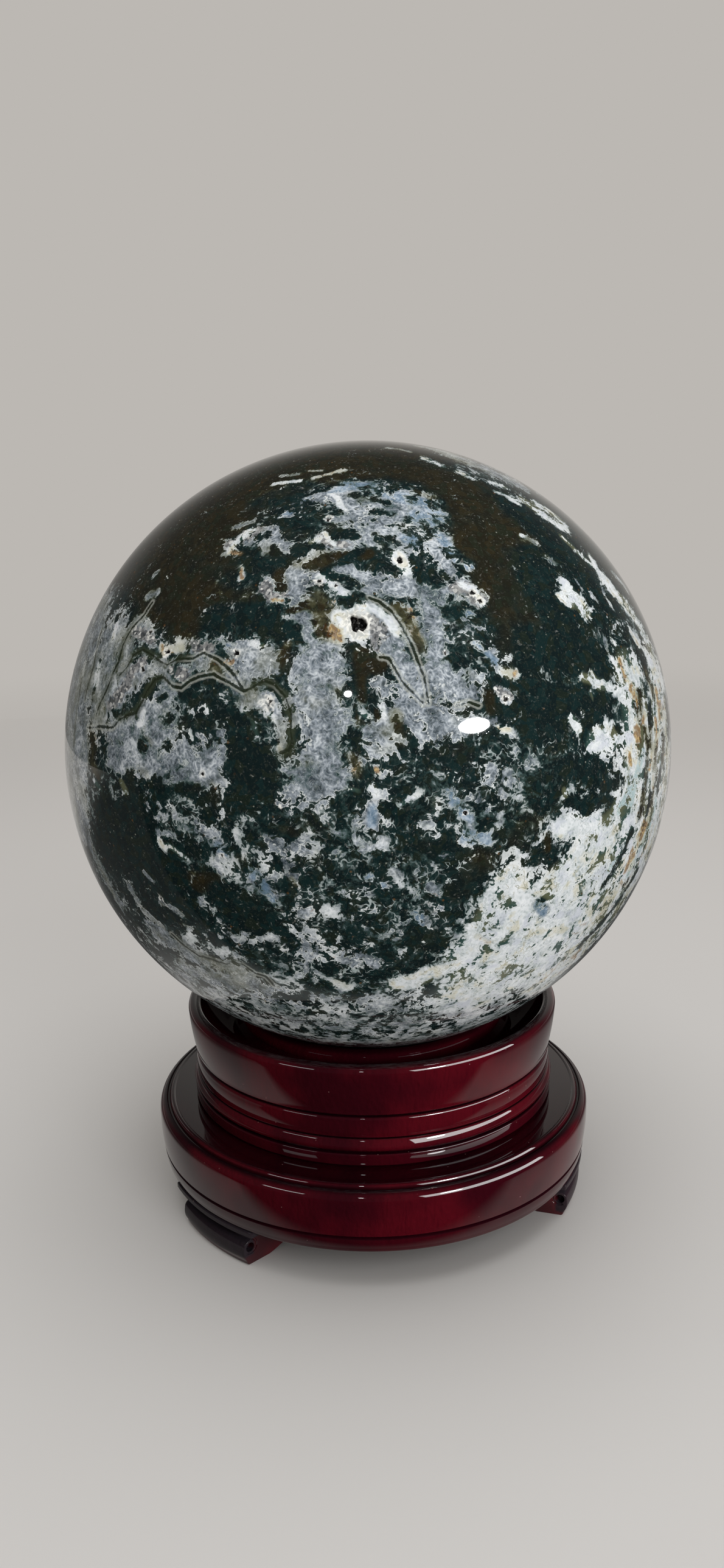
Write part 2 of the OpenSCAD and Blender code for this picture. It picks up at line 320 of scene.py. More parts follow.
studio = {
    "pale": srgb(188, 184, 179),
    "floor": srgb(223, 222, 221),
    "fadeFrom": 0.7, "fadeTo": 2.6,         # metres from the object, where the floor turns plain
    "floorSize": 30,
    "windowWatts": 7.5, "windowSize": (0.26, 0.11), "windowAt": (0.571, -0.786, 0.24), "windowAway": 1.4,
    "lampWatts": 0.35, "lampSize": (0.06, 0.05), "lampAt": (-0.110, -0.886, 0.451), "lampAway": 1.4,
    "sideWatts": 28.0, "sideSize": (1.8, 0.50), "sideAt": (0.80, -0.56, 0.22), "sideAway": 1.4,
    "glowWatts": 1.3, "glowSize": (0.5, 0.14), "glowAt": (-0.70, -0.70, 0.34), "glowAway": 1.4,
    "fillWatts": 7.5, "fillSize": (1.0, 1.0), "fillAt": (0.45, -0.85, 0.50), "fillAway": 1.9,
    "topWatts": 9.0, "topSize": (1.3, 1.3), "topAt": (0.05, -0.1, 1.0), "topAway": 1.5,
    "tentRadius": 1.7, "tentAhead": (0.40, 0.95), "tentAbove": (0.30, 0.80), "tentLeft": 0.55,
    # the tent's colour, then the colour and reach of the painted shade over the floor that is only seen in the polish
    "cloth": srgb(50, 52, 54), "floorShade": srgb(24, 24, 26), "floorShadeFrom": 0.092, "floorShadeBeside": 0.10,
}


def addLight(name, shape):
    # an area light that stands away from the ball and faces it
    bpy.ops.object.light_add(type="AREA")
    light = bpy.context.active_object
    light.name = name
    light.data.shape = shape
    light.data.size, light.data.size_y = studio[name + "Size"]
    light.data.energy = studio[name + "Watts"]
    toward = Vector(studio[name + "At"]).normalized()
    light.location = ballCentre + toward * studio[name + "Away"]
    light.rotation_euler = toward.to_track_quat("Z", "Y").to_euler()
    return light


def makeStudio():
    world = bpy.data.worlds.new("studio")
    bpy.context.scene.world = world
    world.use_nodes = True
    sky = Graph("studio", world.node_tree)
    light = sky.add("ShaderNodeBackground", {}, {"Color": (*studio["pale"], 1), "Strength": 1.0})
    sky.add("ShaderNodeOutputWorld", {}, {"Surface": light})

    bpy.ops.mesh.primitive_plane_add(size=studio["floorSize"])
    floor = activeNamed("floor")
    g = Graph("floorPaint")
    spot = g.add("ShaderNodeTexCoord", output=3)
    away = g.add("ShaderNodeVectorMath", {"operation": "LENGTH"}, {0: spot}, output=1)
    far = g.step(away, studio["fadeFrom"], studio["fadeTo"])
    near = g.add("ShaderNodeBsdfPrincipled", {}, {"Base Color": (*studio["floor"], 1), "Roughness": 0.7})
    plain = g.add("ShaderNodeEmission", {}, {"Color": (*studio["pale"], 1), "Strength": 1.0})
    both = g.add("ShaderNodeMixShader", {}, {0: far, 1: near, 2: plain})
    g.add("ShaderNodeOutputMaterial", {}, {"Surface": both})
    paint(floor, g.material)

    addLight("window", "ELLIPSE")
    addLight("lamp", "ELLIPSE")
    addLight("fill", "SQUARE").visible_glossy = False
    addLight("top", "SQUARE").visible_glossy = False

    # a dark cloth all round the front and over the top, only seen in the polish
    bpy.ops.mesh.primitive_uv_sphere_add(segments=48, ring_count=24, radius=studio["tentRadius"],
                                         location=ballCentre)
    tent = settle(activeNamed("tent"))
    g = Graph("tentCloth")
    spot = g.place(ballCentre)
    right, ahead, above = [g.add("ShaderNodeSeparateXYZ", {}, {0: spot}, output=i) * (mm / studio["tentRadius"])
                           for i in range(3)]
    clear = g.step(ahead, *studio["tentAhead"]) * (1 - g.step(above, *studio["tentAbove"]))
    clear = clear * (1 - studio["tentLeft"] * g.step(right * -1, 0.0, 0.5))
    cloth = g.add("ShaderNodeEmission", {}, {"Color": (*studio["cloth"], 1), "Strength": 1.0})
    glass = g.add("ShaderNodeBsdfTransparent")
    both = g.add("ShaderNodeMixShader", {}, {0: clear, 1: cloth, 2: glass})
    g.add("ShaderNodeOutputMaterial", {}, {"Surface": both})
    paint(tent, g.material)
    # a dark sheet over the floor round the stand, only seen in the polish: painted shade of the floor in the
    # reflections
    bpy.ops.mesh.primitive_grid_add(x_subdivisions=2, y_subdivisions=2, size=3.6, location=(0, 0, 0.001))
    floorShade = settle(activeNamed("floorShade"))
    g = Graph("paintedFloorShade")
    away = g.add("ShaderNodeVectorMath", {"operation": "LENGTH"}, {0: g.place()}, output=1) * mm
    ahead = g.add("ShaderNodeSeparateXYZ", {}, {0: g.place()}, output=1) * mm
    before = g.step(ahead * -1, studio["floorShadeFrom"], studio["floorShadeFrom"] + 0.025)
    beside = g.step(away, studio["floorShadeBeside"], studio["floorShadeBeside"] + 0.16) * (1 - g.step(ahead, 0.2, 0.7))
    cloth = g.add("ShaderNodeEmission", {}, {"Color": (*studio["floorShade"], 1), "Strength": 1.0})
    glass = g.add("ShaderNodeBsdfTransparent")
    both = g.add("ShaderNodeMixShader", {}, {0: g.largest(before, beside * 0.88), 1: glass, 2: cloth})
    g.add("ShaderNodeOutputMaterial", {}, {"Surface": both})
    paint(floorShade, g.material)
    for cover in (tent, floorShade):
        cover.visible_camera = False
        cover.visible_diffuse = False
        cover.visible_shadow = False
    bpy.context.scene.view_settings.view_transform = "Standard"


makeStudio()
print("studio lit")


# ---- the ball ----

ball = {
    "cuts": 99,               # cuts along a side of the cube that is rounded into the ball
    "fineLine": 1.3,          # degrees: what is narrower than this gets a finer mesh
    "wander": 0.018, "wanderScale": 3.5, "wanderBehind": 0.13,
    "ripple": 0.008, "rippleScale": 12.0,
    "softest": 2.4, "ragged": 2.6,       # how wide the edges of a patch are, and how torn
}

# Kinds of stone. tone: above 0 is moss, below 0 is chalcedony; mottle: how far the two mix;
# milk: from grey to white; olive: from black-green to brown; warm: iron; blue: cast; druse: crystals
stoneKeys = ("tone", "mottle", "milk", "olive", "warm", "blue", "druse")
stoneKinds = {
    "smoke": (1.50, 0.45, 0.3, 0.75, 0.1, 0.0, 0.0),
    "bark": (1.50, 0.45, 0.4, 1.00, 0.3, 0.0, 0.0),
    "slate": (1.80, 0.45, 0.3, 0.10, 0.0, 0.3, 0.0),
    "night": (1.05, 0.75, 0.5, 0.30, 0.1, 0.0, 0.0),
    "teal": (1.25, 0.65, 0.4, 0.00, 0.0, 0.2, 0.0),
    "moss": (0.70, 0.90, 0.4, 0.15, 0.2, 0.1, 0.0),
    "fern": (0.35, 0.50, 0.1, 0.80, 0.4, 0.0, 0.0),
    "net": (0.56, 1.05, 0.4, 0.15, 0.1, 0.2, 0.1),
    "drift": (-0.18, 1.10, 0.3, 0.10, 0.0, 0.3, 0.0),
    "lace": (-0.12, 1.00, 0.50, 0.15, 0.1, 0.1, 0.1),
    "frost": (-0.82, 0.72, 0.0, 0.20, 0.0, 0.3, 0.0),
    "haze": (-0.75, 0.70, 0.2, 0.50, 0.0, 0.0, 0.0),
    "crystal": (-0.70, 0.70, 0.3, 0.30, 0.0, 0.1, 1.0),
    "mint": (-0.42, 1.20, 0.9, 0.10, 0.0, 1.0, 0.0),
    "sky": (-0.28, 1.00, 0.2, 0.00, 0.0, 1.0, 0.0),
    "veil": (-0.32, 1.10, 0.6, 0.10, 0.0, 0.1, 0.0),
    "milk": (-0.52, 1.15, 1.0, 0.10, 0.0, 0.0, 0.0),
    "streak": (-0.36, 1.40, 0.9, 0.40, 0.4, 0.1, 0.0),
    "chalk": (-1.40, 0.80, 1.0, 0.00, 0.0, 0.0, 0.0),
    "cream": (-0.80, 0.60, 0.8, 0.50, 0.5, 0.0, 0.1),
    "rust": (-0.60, 0.70, 0.8, 0.40, 1.0, 0.0, 0.0),
}

# What is laid where, first to last: kind, the line that it follows, its reach on both sides.
# A place is degrees to the right of the front and degrees above the middle.
agateMap = [
    # the dark cap and shoulders
    ("smoke", [(-150, 70), (-80, 62), (-40, 66), (0, 72), (20, 78)], 15),
    ("smoke", [(-88, 45), (-66, 45), (-52, 44)], 11),
    ("bark", [(-50, 52), (-40, 55), (-28, 60), (-12, 64), (6, 64)], 5),
    ("bark", [(-46, 42), (-38, 46), (-30, 51)], 6),
    ("smoke", [(-44, 36), (-36, 34), (-29, 33)], 7),
    ("smoke", [(-26, 33), (-22, 33)], 4),
    ("teal", [(-27, 29), (-20, 29), (-15, 28)], 2.6),
    ("night", [(-26, 52), (-18, 54), (-16, 49)], 4),
    ("night", [(-20, 46), (-14, 44), (-18, 39), (-24, 38)], 4.5),
    ("moss", [(-10, 50), (-8, 45), (-12, 40)], 4),
    ("moss", [(-6, 40), (2, 39), (8, 37), (14, 36)], 4.5),
    ("smoke", [(4, 65), (14, 62), (26, 58), (34, 55)], 5),
    ("smoke", [(28, 50), (27, 42), (28, 34), (29, 26)], 6.5),
    ("smoke", [(34, 52), (38, 46), (40, 42)], 6),
    ("teal", [(46, 48), (48, 42), (50, 36), (50, 30)], 5.5),
    ("teal", [(36, 36), (37, 29), (41, 25)], 5.5),
    ("slate", [(29, 22), (36, 21), (43, 21)], 4.5),
    ("moss", [(47, 24), (51, 21), (56, 21)], 3.5),
    ("teal", [(24, 17), (30, 14), (35, 13)], 4.5),
    ("slate", [(62, 50), (66, 42), (70, 34), (72, 28)], 6),
    # white streaks over the right shoulder
    ("haze", [(16, 71), (24, 69)], 0.8),
    ("milk", [(28, 66), (31, 63)], 0.8),
    ("milk", [(36, 61), (38, 58.5)], 0.7),
    ("haze", [(50, 70), (56, 64), (62, 58)], 3.0),
    ("milk", [(45, 57), (48, 56)], 0.8),
    ("milk", [(41, 54), (44, 53), (46, 52)], 0.6),
    ("chalk", [(43.5, 52), (45, 51)], 0.5),
    ("milk", [(50, 52), (51, 49.5), (54, 47), (57, 45.5)], 1.4),
    ("milk", [(56, 51), (59, 49), (60, 47)], 1.5),
    ("milk", [(51, 43.5), (52.5, 40.5), (55, 37.5)], 0.7),
    ("chalk", [(57.5, 38.5), (56.5, 36)], 0.8),
    ("chalk", [(57, 34), (58, 31), (61, 28)], 1.5),
    ("milk", [(61, 28), (64, 25), (66, 21)], 1.8),
    ("haze", [(66, 34), (68, 30)], 0.8),
    ("haze", [(54, 33), (53, 31), (53.5, 28)], 0.4),
    # small whites in the dark shoulder
    ("milk", [(41, 32.5), (42, 30.5), (43.5, 28.5)], 1.6),
    ("chalk", [(38, 31), (40, 29.5)], 0.7),
    ("chalk", [(41.5, 34), (41, 32)], 0.5),
    ("haze", [(37, 42.5), (39, 42)], 0.8),
    ("chalk", [(36.5, 43.5), (36.3, 43.4)], 0.4),
    ("haze", [(39.5, 39), (41.5, 37.5)], 0.6),
    ("haze", [(45, 35), (45.5, 32.5)], 0.3),
    ("haze", [(48, 31.5), (49, 30)], 0.5),
    ("haze", [(46, 21), (47, 23.5)], 0.3),
    ("chalk", [(48.5, 23.5), (49, 22.5)], 0.35),
    # streaks and clouds at the top of the front
    ("chalk", [(-28.5, 57), (-25, 57.5), (-20, 58)], 0.45),
    ("haze", [(-28.5, 60), (-22, 60.5)], 0.5),
    ("haze", [(-19, 61.5), (-15, 61.5)], 0.35),
    ("cream", [(-16, 59), (-12, 60), (-6.5, 61.5)], 0.6),
    ("sky", [(-15, 52), (-9, 53), (-3, 56)], 1.1),
    ("sky", [(-4, 56.5), (-1.5, 55.5)], 1.5),
    ("frost", [(-11, 52), (-5, 52), (-2, 50)], 1.2),
    ("chalk", [(-8, 53), (-6, 52), (-3.5, 48.5)], 0.4),
    ("sky", [(2.5, 55), (6, 53), (11, 52), (16, 50.5)], 2.0),
    ("frost", [(2, 51), (8, 50), (12, 49)], 1.6),
    ("sky", [(12, 48), (14.5, 46.5), (17, 48)], 1.8),
    ("sky", [(17, 50), (19, 51.5)], 0.8),
    ("fern", [(13.5, 54.5), (17.5, 52.5)], 0.6),
    ("moss", [(3.5, 52), (5.5, 51)], 0.7),
    ("frost", [(-5, 47), (-1, 47.5), (1, 47)], 1.1),
    ("frost", [(4, 46.5), (6.5, 47)], 1.0),
    ("frost", [(-2.5, 45), (1, 44.5), (6, 44.5)], 1.3),
    ("frost", [(0, 43), (2.5, 41.5)], 0.9),
    ("sky", [(8.5, 43), (10, 42.5)], 1.2),
    ("sky", [(15, 44), (16.5, 41.5), (18, 38.5), (20, 37.5)], 1.0),
    ("frost", [(13, 41.5), (14.5, 39), (16, 37)], 1.0),
    ("sky", [(12, 38), (15, 36)], 0.5),
    ("slate", [(-6, 44), (-2, 43.5)], 1.1),
    ("crystal", [(-9, 43), (-7, 42), (-4, 41.5)], 0.9),
    ("chalk", [(-8, 44), (-6.8, 42.5), (-6, 41.7)], 0.35),
    ("chalk", [(-11, 42), (-9, 42.8)], 0.4),
    ("moss", [(3, 42), (5, 42), (4, 39)], 1.3),
    ("fern", [(-14, 37), (-11, 37.5), (-8, 39)], 1.3),
    ("bark", [(-6, 39.5), (0, 40)], 1.0),
    ("slate", [(-4.5, 38.5), (-1, 40.5)], 0.7),
    ("frost", [(-5.5, 37), (-3, 36), (-2, 35.5)], 0.9),
    ("milk", [(-9, 35.5), (-6.5, 34), (-4.5, 32.5)], 0.8),
    ("milk", [(6, 39.5), (7, 37), (8.5, 35.5)], 0.9),
    # the swirl on the left shoulder
    ("haze", [(-33.5, 43.5), (-31, 43.5)], 0.6),
    ("haze", [(-31, 46), (-27, 47), (-24, 45.5)], 0.7),
    ("crystal", [(-29.5, 42.5), (-27, 44), (-25, 45)], 1.5),
    ("milk", [(-29.5, 41.8), (-28, 43.5), (-26, 45)], 0.6),
    ("rust", [(-29, 41), (-26.5, 40.5)], 0.5),
    ("frost", [(-20, 45), (-19, 42.5), (-16.5, 41.5)], 0.9),
    ("sky", [(-20, 48), (-17.5, 48.5)], 0.9),
    ("haze", [(-22, 42), (-20.5, 40.5)], 0.6),
    ("haze", [(-22.5, 45), (-21, 46)], 0.3),
    ("rust", [(-25, 38), (-24.5, 36)], 0.4),
    ("crystal", [(-19.5, 34), (-17, 32.5), (-14.5, 33)], 1.4),
    ("bark", [(-16.5, 36), (-16.2, 34.5)], 1.1),
    ("rust", [(-17.5, 32), (-15.5, 32)], 0.4),
    ("frost", [(-14, 36), (-12.5, 34), (-12, 31.5)], 1.7),
    # the middle above
    ("fern", [(-9, 32), (-7.5, 29), (-7, 26)], 2.2),
    ("bark", [(-14, 30), (-11.5, 30.5)], 0.8),
    ("cream", [(-14.5, 29), (-13.5, 28.2)], 0.7),
    ("frost", [(-11, 29), (-10.5, 26), (-10, 23.5)], 1.0),
    ("teal", [(-14, 27.5), (-13, 24.5)], 1.2),
    ("frost", [(1, 34.5), (5, 33), (9, 34), (12, 32.5), (15, 33)], 1.9),
    ("sky", [(4, 31.5), (6, 31)], 1.2),
    ("frost", [(10, 31), (12, 28.5), (12, 24.5), (12, 21.5)], 1.3),
    ("crystal", [(16.5, 34), (19, 33.5), (20.5, 31)], 1.2),
    ("chalk", [(17.5, 34.3), (19.8, 33), (20.8, 30.5)], 0.4),
    ("sky", [(16.5, 29.5), (18, 29)], 0.8),
    ("moss", [(15.5, 32), (17, 31), (16, 29.5)], 0.8),
    ("sky", [(20.5, 22.5), (21.5, 21)], 0.7),
    ("sky", [(18.5, 24.5), (19.5, 24)], 0.5),
    ("teal", [(10, 36.5), (13, 36)], 1.3),
    # the white eye, its crystals and the band that runs down from it
    ("fern", [(5, 30.5), (7.5, 28), (9, 24.5), (9.3, 21)], 1.2),
    ("crystal", [(0.5, 27.5), (2, 25.5), (4, 23.5)], 2.3),
    ("frost", [(4, 24), (6, 21.5), (7.5, 19), (9, 16)], 1.9),
    ("frost", [(11, 20), (13, 18.5), (15, 17)], 2.6),
    ("frost", [(9, 13), (12, 13), (15, 12)], 2.2),
    ("frost", [(5, 18), (6, 15), (7, 12.5)], 1.2),
    ("chalk", [(-4, 28), (-2, 30), (1, 30.3), (3.5, 28.8), (5, 26.5)], 0.7),
    ("chalk", [(-5, 28.5), (-3.5, 26.8), (-1, 26.3)], 1.0),
    ("rust", [(-6, 26.4), (-4.8, 25.6)], 1.0),
    # the middle
    ("frost", [(-9, 23), (-5, 22), (-4, 19)], 1.6),
    ("frost", [(-8, 21), (-7, 16), (-6.5, 11), (-7, 7), (-9, 5)], 3.4),
    ("bark", [(-1.2, 23), (-1, 19), (-0.8, 16.5)], 0.9),
    ("fern", [(-1.3, 15), (-1.7, 12.5)], 0.5),
    ("night", [(-3, 10.5), (-2, 9.5), (-3, 12)], 0.8),
    ("fern", [(-2.5, 8), (-2, 6)], 1.0),
    ("bark", [(1, 21), (2, 21.5)], 1.2),
    ("haze", [(1, 18.8), (2.5, 18.5), (3.5, 17.5)], 1.0),
    ("milk", [(-0.8, 14.5), (0, 13.8)], 0.6),
    ("milk", [(2, 15.2), (2, 14)], 0.4),
    ("bark", [(1.2, 14.8), (1.2, 13.5)], 0.35),
    ("fern", [(4, 14), (4, 12)], 1.2),
    ("haze", [(0, 12), (2.5, 11.5), (4.5, 10.5)], 1.1),
    ("haze", [(0.5, 9), (3, 9)], 0.9),
    ("drift", [(5, 8), (5.2, 5.5)], 0.9),
    ("night", [(9, 8), (12, 7), (15, 8)], 1.9),
    ("moss", [(0, 6), (3, 6.5)], 1.2),
    ("rust", [(0.5, 6.2), (0.9, 5.6)], 0.3),
    ("chalk", [(0, 3.9), (0.7, 3.2)], 0.5),
    ("milk", [(-3.5, 3.8), (-1.8, 3.4)], 0.3),
    ("milk", [(4.3, 1.3), (5.5, 2.2), (7, 2.6)], 0.35),
    ("sky", [(0.5, 1), (0.2, -1.5)], 0.9),
    ("drift", [(-3, -0.8), (-1.5, -1.5)], 0.9),
    ("drift", [(-1, -4), (1, -3.5)], 1.1),
    ("drift", [(-12.5, -0.5), (-11, -0.3)], 0.9),
    ("drift", [(-14, -5), (-12.5, -6.5), (-10, -4.5)], 1.4),
    ("slate", [(2.5, 1), (3.5, 0.3)], 0.9),
    ("night", [(-7, -2.5), (-6.5, -5.5)], 1.2),
    ("night", [(-13, -3), (-11, -3)], 0.8),
    ("sky", [(11.5, 2.5), (12.5, 0.5), (14.5, -1)], 1.1),
    ("drift", [(16.5, -1), (19, -2)], 1.3),
    ("drift", [(18, 5), (21, 2)], 1.6),
    ("sky", [(14, -4), (17, -4.5)], 1.2),
    ("crystal", [(20.5, 17), (22.5, 16)], 0.9),
    ("cream", [(22.5, 19.5), (24, 19)], 0.9),
    ("haze", [(17, 20), (18, 19)], 0.6),
    ("bark", [(19, 16.5), (19.5, 14)], 0.9),
    ("rust", [(20.3, 11.2), (22, 11)], 0.5),
    # the left, with its bands
    ("haze", [(-70, 26), (-62, 18), (-60, 8), (-64, -4)], 7.5),
    ("haze", [(-54, 26), (-52, 20), (-52, 14)], 4),
    ("milk", [(-55.5, 20), (-54.5, 17)], 0.8),
    ("milk", [(-53.5, 27.5), (-52.8, 25)], 0.5),
    ("night", [(-55, 29), (-54.5, 28.2)], 0.4),
    ("haze", [(-48.5, 36.5), (-47.5, 37.3)], 0.4),
    ("haze", [(-44, 36.5), (-43, 36)], 0.4),
    ("haze", [(-46.5, 33), (-44, 33.5)], 0.7),
    ("haze", [(-46, 28), (-47, 24), (-45, 18)], 2.2),
    ("crystal", [(-46, 26.5), (-42, 26), (-40, 25.5)], 1.1),
    ("crystal", [(-47.5, 14.5), (-45, 17), (-43, 19.5), (-41, 21)], 1.4),
    ("haze", [(-42, 18), (-38, 21), (-34, 21)], 1.0),
    ("crystal", [(-33.5, 20.5), (-31, 19.8)], 1.1),
    ("haze", [(-29, 21.8), (-27, 21.3)], 1.0),
    ("cream", [(-35.5, 24.3), (-33, 24.5)], 1.0),
    ("rust", [(-37.2, 24.5), (-36.6, 23.3)], 0.5),
    ("crystal", [(-30.5, 25), (-28.5, 24.5), (-26.5, 24.8)], 1.1),
    ("sky", [(-24.5, 24.5), (-21.5, 25)], 0.8),
    ("haze", [(-22, 23.5), (-19, 23.8), (-17, 22)], 1.7),
    ("milk", [(-19.5, 24.8), (-17.5, 24.2)], 0.5),
    ("haze", [(-20, 20.5), (-17, 20.5), (-14.5, 22)], 1.5),
    ("fern", [(-14, 22.8), (-13.5, 24.8)], 0.7),
    ("fern", [(-25.5, 22), (-24, 20)], 1.1),
    ("rust", [(-23.5, 22.2), (-22.8, 21.8)], 0.45),
    ("haze", [(-20, 15.8), (-17.5, 16.3), (-15, 15.5)], 1.4),
    ("milk", [(-19.5, 14.5), (-18, 12.5), (-17.6, 11)], 0.55),
    ("milk", [(-15.5, 14), (-13.5, 13)], 0.5),
    ("haze", [(-13.3, 13.5), (-12.8, 10)], 0.8),
    ("frost", [(-45, 10), (-41, 9.5), (-36, 11), (-32, 8.5)], 2.8),
    ("frost", [(-38, 14), (-35, 13.5), (-34, 17.5)], 2.0),
    ("frost", [(-44, 6), (-38, 6.5), (-32, 6), (-26, 6.5)], 2.7),
    ("frost", [(-25, 8.5), (-24.5, 4), (-30, 4)], 1.6),
    ("chalk", [(-39.3, 13.5), (-39.6, 12)], 0.6),
    ("haze", [(-38, 10), (-36.5, 9)], 0.4),
    ("night", [(-30.5, 16), (-27.5, 17), (-25, 15.5), (-23.5, 14)], 1.7),
    ("night", [(-30, 12.5), (-27.5, 12.5), (-25, 12.5)], 1.9),
    ("slate", [(-35.5, 15.8), (-34.5, 16.2)], 0.6),
    ("slate", [(-39, 8.4), (-37.8, 8)], 0.7),
    ("teal", [(-33.2, 9.4), (-33, 8.6)], 0.5),
    ("chalk", [(-28.8, 11.2), (-28.5, 10.2)], 0.3),
    ("chalk", [(-26.3, 15.2), (-26, 14.5)], 0.3),
    ("haze", [(-23.5, 11), (-23, 10)], 0.5),
    ("slate", [(-20.5, 12.5), (-19, 7), (-18.5, 2), (-16, 8), (-15.5, 3)], 2.0),
    ("cream", [(-13.6, 9.6), (-13.4, 8.9)], 0.4),
    ("fern", [(-54, 9.5), (-52, 7), (-53, 4), (-51, 2.5)], 1.3),
    ("milk", [(-52, 1.5), (-49.5, 0.5), (-49, -1.5)], 0.7),
    ("milk", [(-44, 3), (-42.5, 1)], 0.6),
    ("haze", [(-40, 0.5), (-38.5, -1)], 0.4),
    ("moss", [(-38.5, 2), (-35, 3)], 1.2),
    ("night", [(-31, 2.5), (-28.5, 2), (-27, 2.5)], 1.0),
    ("night", [(-24.5, 1.5), (-24, -1)], 1.1),
    ("night", [(-41.5, 4.2), (-40.5, 1)], 0.8),
    ("slate", [(-34.5, 3.2), (-33.8, 0.5)], 0.8),
    ("frost", [(-46.5, 0.5), (-45, -2.8)], 0.9),
    ("frost", [(-37.8, -0.4), (-36.8, -3.2)], 0.7),
    ("haze", [(-51, -1), (-50.5, -4.5)], 0.8),
    # lower left
    ("slate", [(-48, -4), (-44, -6), (-40, -4)], 4.5),
    ("slate", [(-50, -10), (-44, -12), (-38, -12), (-34, -12)], 5),
    ("teal", [(-46, -19), (-40, -20), (-35, -16)], 4),
    ("haze", [(-60, -2), (-59, -8), (-57, -15), (-54, -22)], 1.6),
    ("drift", [(-34, -2), (-30, -3.5), (-26, -3.5), (-23, -5.5)], 1.5),
    ("frost", [(-35, -5), (-32, -5)], 0.7),
    ("milk", [(-35, -6.5), (-34, -7.5)], 0.6),
    ("milk", [(-33, -7), (-29.5, -8.8)], 0.5),
    ("teal", [(-29, -7), (-26, -8)], 1.5),
    ("sky", [(-23.5, -6.5), (-22, -8)], 1.0),
    ("veil", [(-20, -3.6), (-18.7, -5.8), (-17.8, -8.5)], 0.8),
    ("veil", [(-25, -8.8), (-22, -9.5), (-21, -11.8)], 1.4),
    ("bark", [(-28.5, -12.5), (-25, -12)], 1.6),
    ("slate", [(-25, -15), (-21, -16.5), (-17, -18), (-22, -18.5)], 2.6),
    ("sky", [(-18.5, -10), (-16.5, -12), (-15.5, -14.5)], 1.0),
    ("haze", [(-38.7, -13.5), (-40.5, -12)], 0.3),
    ("haze", [(-38.5, -17.5), (-36, -18), (-34, -19)], 0.6),
    ("haze", [(-46, -17), (-45, -21), (-41, -23)], 0.9),
    ("haze", [(-36, -21), (-33, -21.5)], 0.4),
    ("veil", [(-34, -23.8), (-31, -24.3), (-27, -26)], 1.3),
    ("haze", [(-44, -25), (-38, -27), (-30, -29.5), (-24, -31)], 2.0),
    ("haze", [(-40, -33), (-30, -34), (-22, -34)], 2.6),
    ("veil", [(-24.5, -22), (-20.5, -21.8), (-17, -21)], 0.7),
    ("veil", [(-18, -30), (-16, -32)], 1.2),
    ("veil", [(-16, -8), (-14.5, -10), (-13, -10)], 1.2),
    ("fern", [(-11.7, -10.5), (-11, -11.5)], 0.7),
    ("drift", [(-11, -16), (-11.3, -20), (-11.5, -24), (-12.5, -29)], 1.3),
    ("veil", [(-13.8, -18.3), (-13.2, -19.5)], 0.6),
    ("veil", [(-6.8, -15.5), (-5.5, -17)], 0.8),
    ("veil", [(-6.8, -23), (-6.5, -24.5)], 1.0),
    ("cream", [(-7, -31), (-5, -32)], 1.2),
    ("net", [(-4, -8), (2, -14), (-2, -20)], 4),
    ("sky", [(0, -9.5), (1.5, -11)], 0.9),
    ("veil", [(4, -10.5), (6, -12)], 0.5),
    ("sky", [(7, -16), (8, -19)], 1.0),
    ("frost", [(9, -12), (10.5, -13)], 0.7),
    ("drift", [(-4, -25), (0, -26)], 1.4),
    # the dark edge and the white lower right
    ("lace", [(-48, -40), (-20, -42), (0, -40), (20, -44), (40, -44)], 6),
    ("lace", [(-50, -58), (-20, -60), (20, -60), (50, -52)], 12),
    ("milk", [(56, -16), (46, -22), (34, -28), (22, -33)], 8),
    ("milk", [(44, -8), (37, -13), (30, -18), (25, -23)], 6),
    ("milk", [(22, -12), (20, -17), (18, -22), (15, -26)], 3),
    ("night", [(16, -9), (13, -13), (11.5, -18)], 2.2),
    ("moss", [(11.5, -18), (9, -23), (3, -28)], 2.2),
    ("night", [(22, -4), (24, -7), (27, -8)], 1.8),
    ("lace", [(19, -7.5), (23, -7), (25, -8.5)], 0.8),
    ("chalk", [(4.5, -31.5), (8, -31), (10, -29.5)], 1.8),
    ("chalk", [(24, -14), (26, -17), (24, -19)], 2.0),
    ("chalk", [(31, -4.5), (34, -4.5), (38, -5.5)], 1.6),
    ("sky", [(28, -17), (30, -19)], 1.3),
    ("cream", [(17, -22), (20, -24)], 0.8),
    # the white right
    ("milk", [(51, 17), (50, 10), (49, 3), (48, -4)], 4.5),
    ("milk", [(60, 8), (58, -2), (57, -10)], 6),
    ("streak", [(65, 16), (64, 0), (60, -14), (52, -28), (42, -38)], 5),
    ("streak", [(56, -6), (50, -18), (40, -28)], 2.5),
    ("milk", [(38, 8), (42, 8)], 2.2),
    ("milk", [(33, 12), (34, 10.5)], 0.9),
    ("chalk", [(36.5, 7), (38.5, 7.5)], 1.1),
    ("milk", [(37.5, 17.5), (40, 16.8), (44, 15.5)], 0.9),
    ("chalk", [(40, 18.2), (40.5, 16)], 0.5),
    ("milk", [(38.2, 15), (38.3, 14)], 0.3),
    ("teal", [(33, 4.5), (36, 3.5), (38.5, 2)], 2.6),
    ("teal", [(32.5, -0.5), (36, -1.5), (40.5, -2)], 1.4),
    ("moss", [(43, 3), (44, 1), (44.5, -1)], 0.8),
    ("moss", [(43.3, 9.3), (44, 8.7)], 0.5),
    ("teal", [(37, 12.5), (40, 12.5), (43, 13.5)], 1.4),
    ("milk", [(31, 1.5), (31.5, 0.5)], 0.5),
    ("bark", [(28.5, -5), (28.8, -7)], 0.6),
    ("rust", [(54, 10.3), (52, 9), (50, 7)], 0.6),
    ("rust", [(47.5, 6), (46.8, 4), (47, 2.8)], 0.55),
    ("rust", [(62, 13), (61, 9)], 0.7),
    ("rust", [(55, 3), (54, 1)], 0.6),
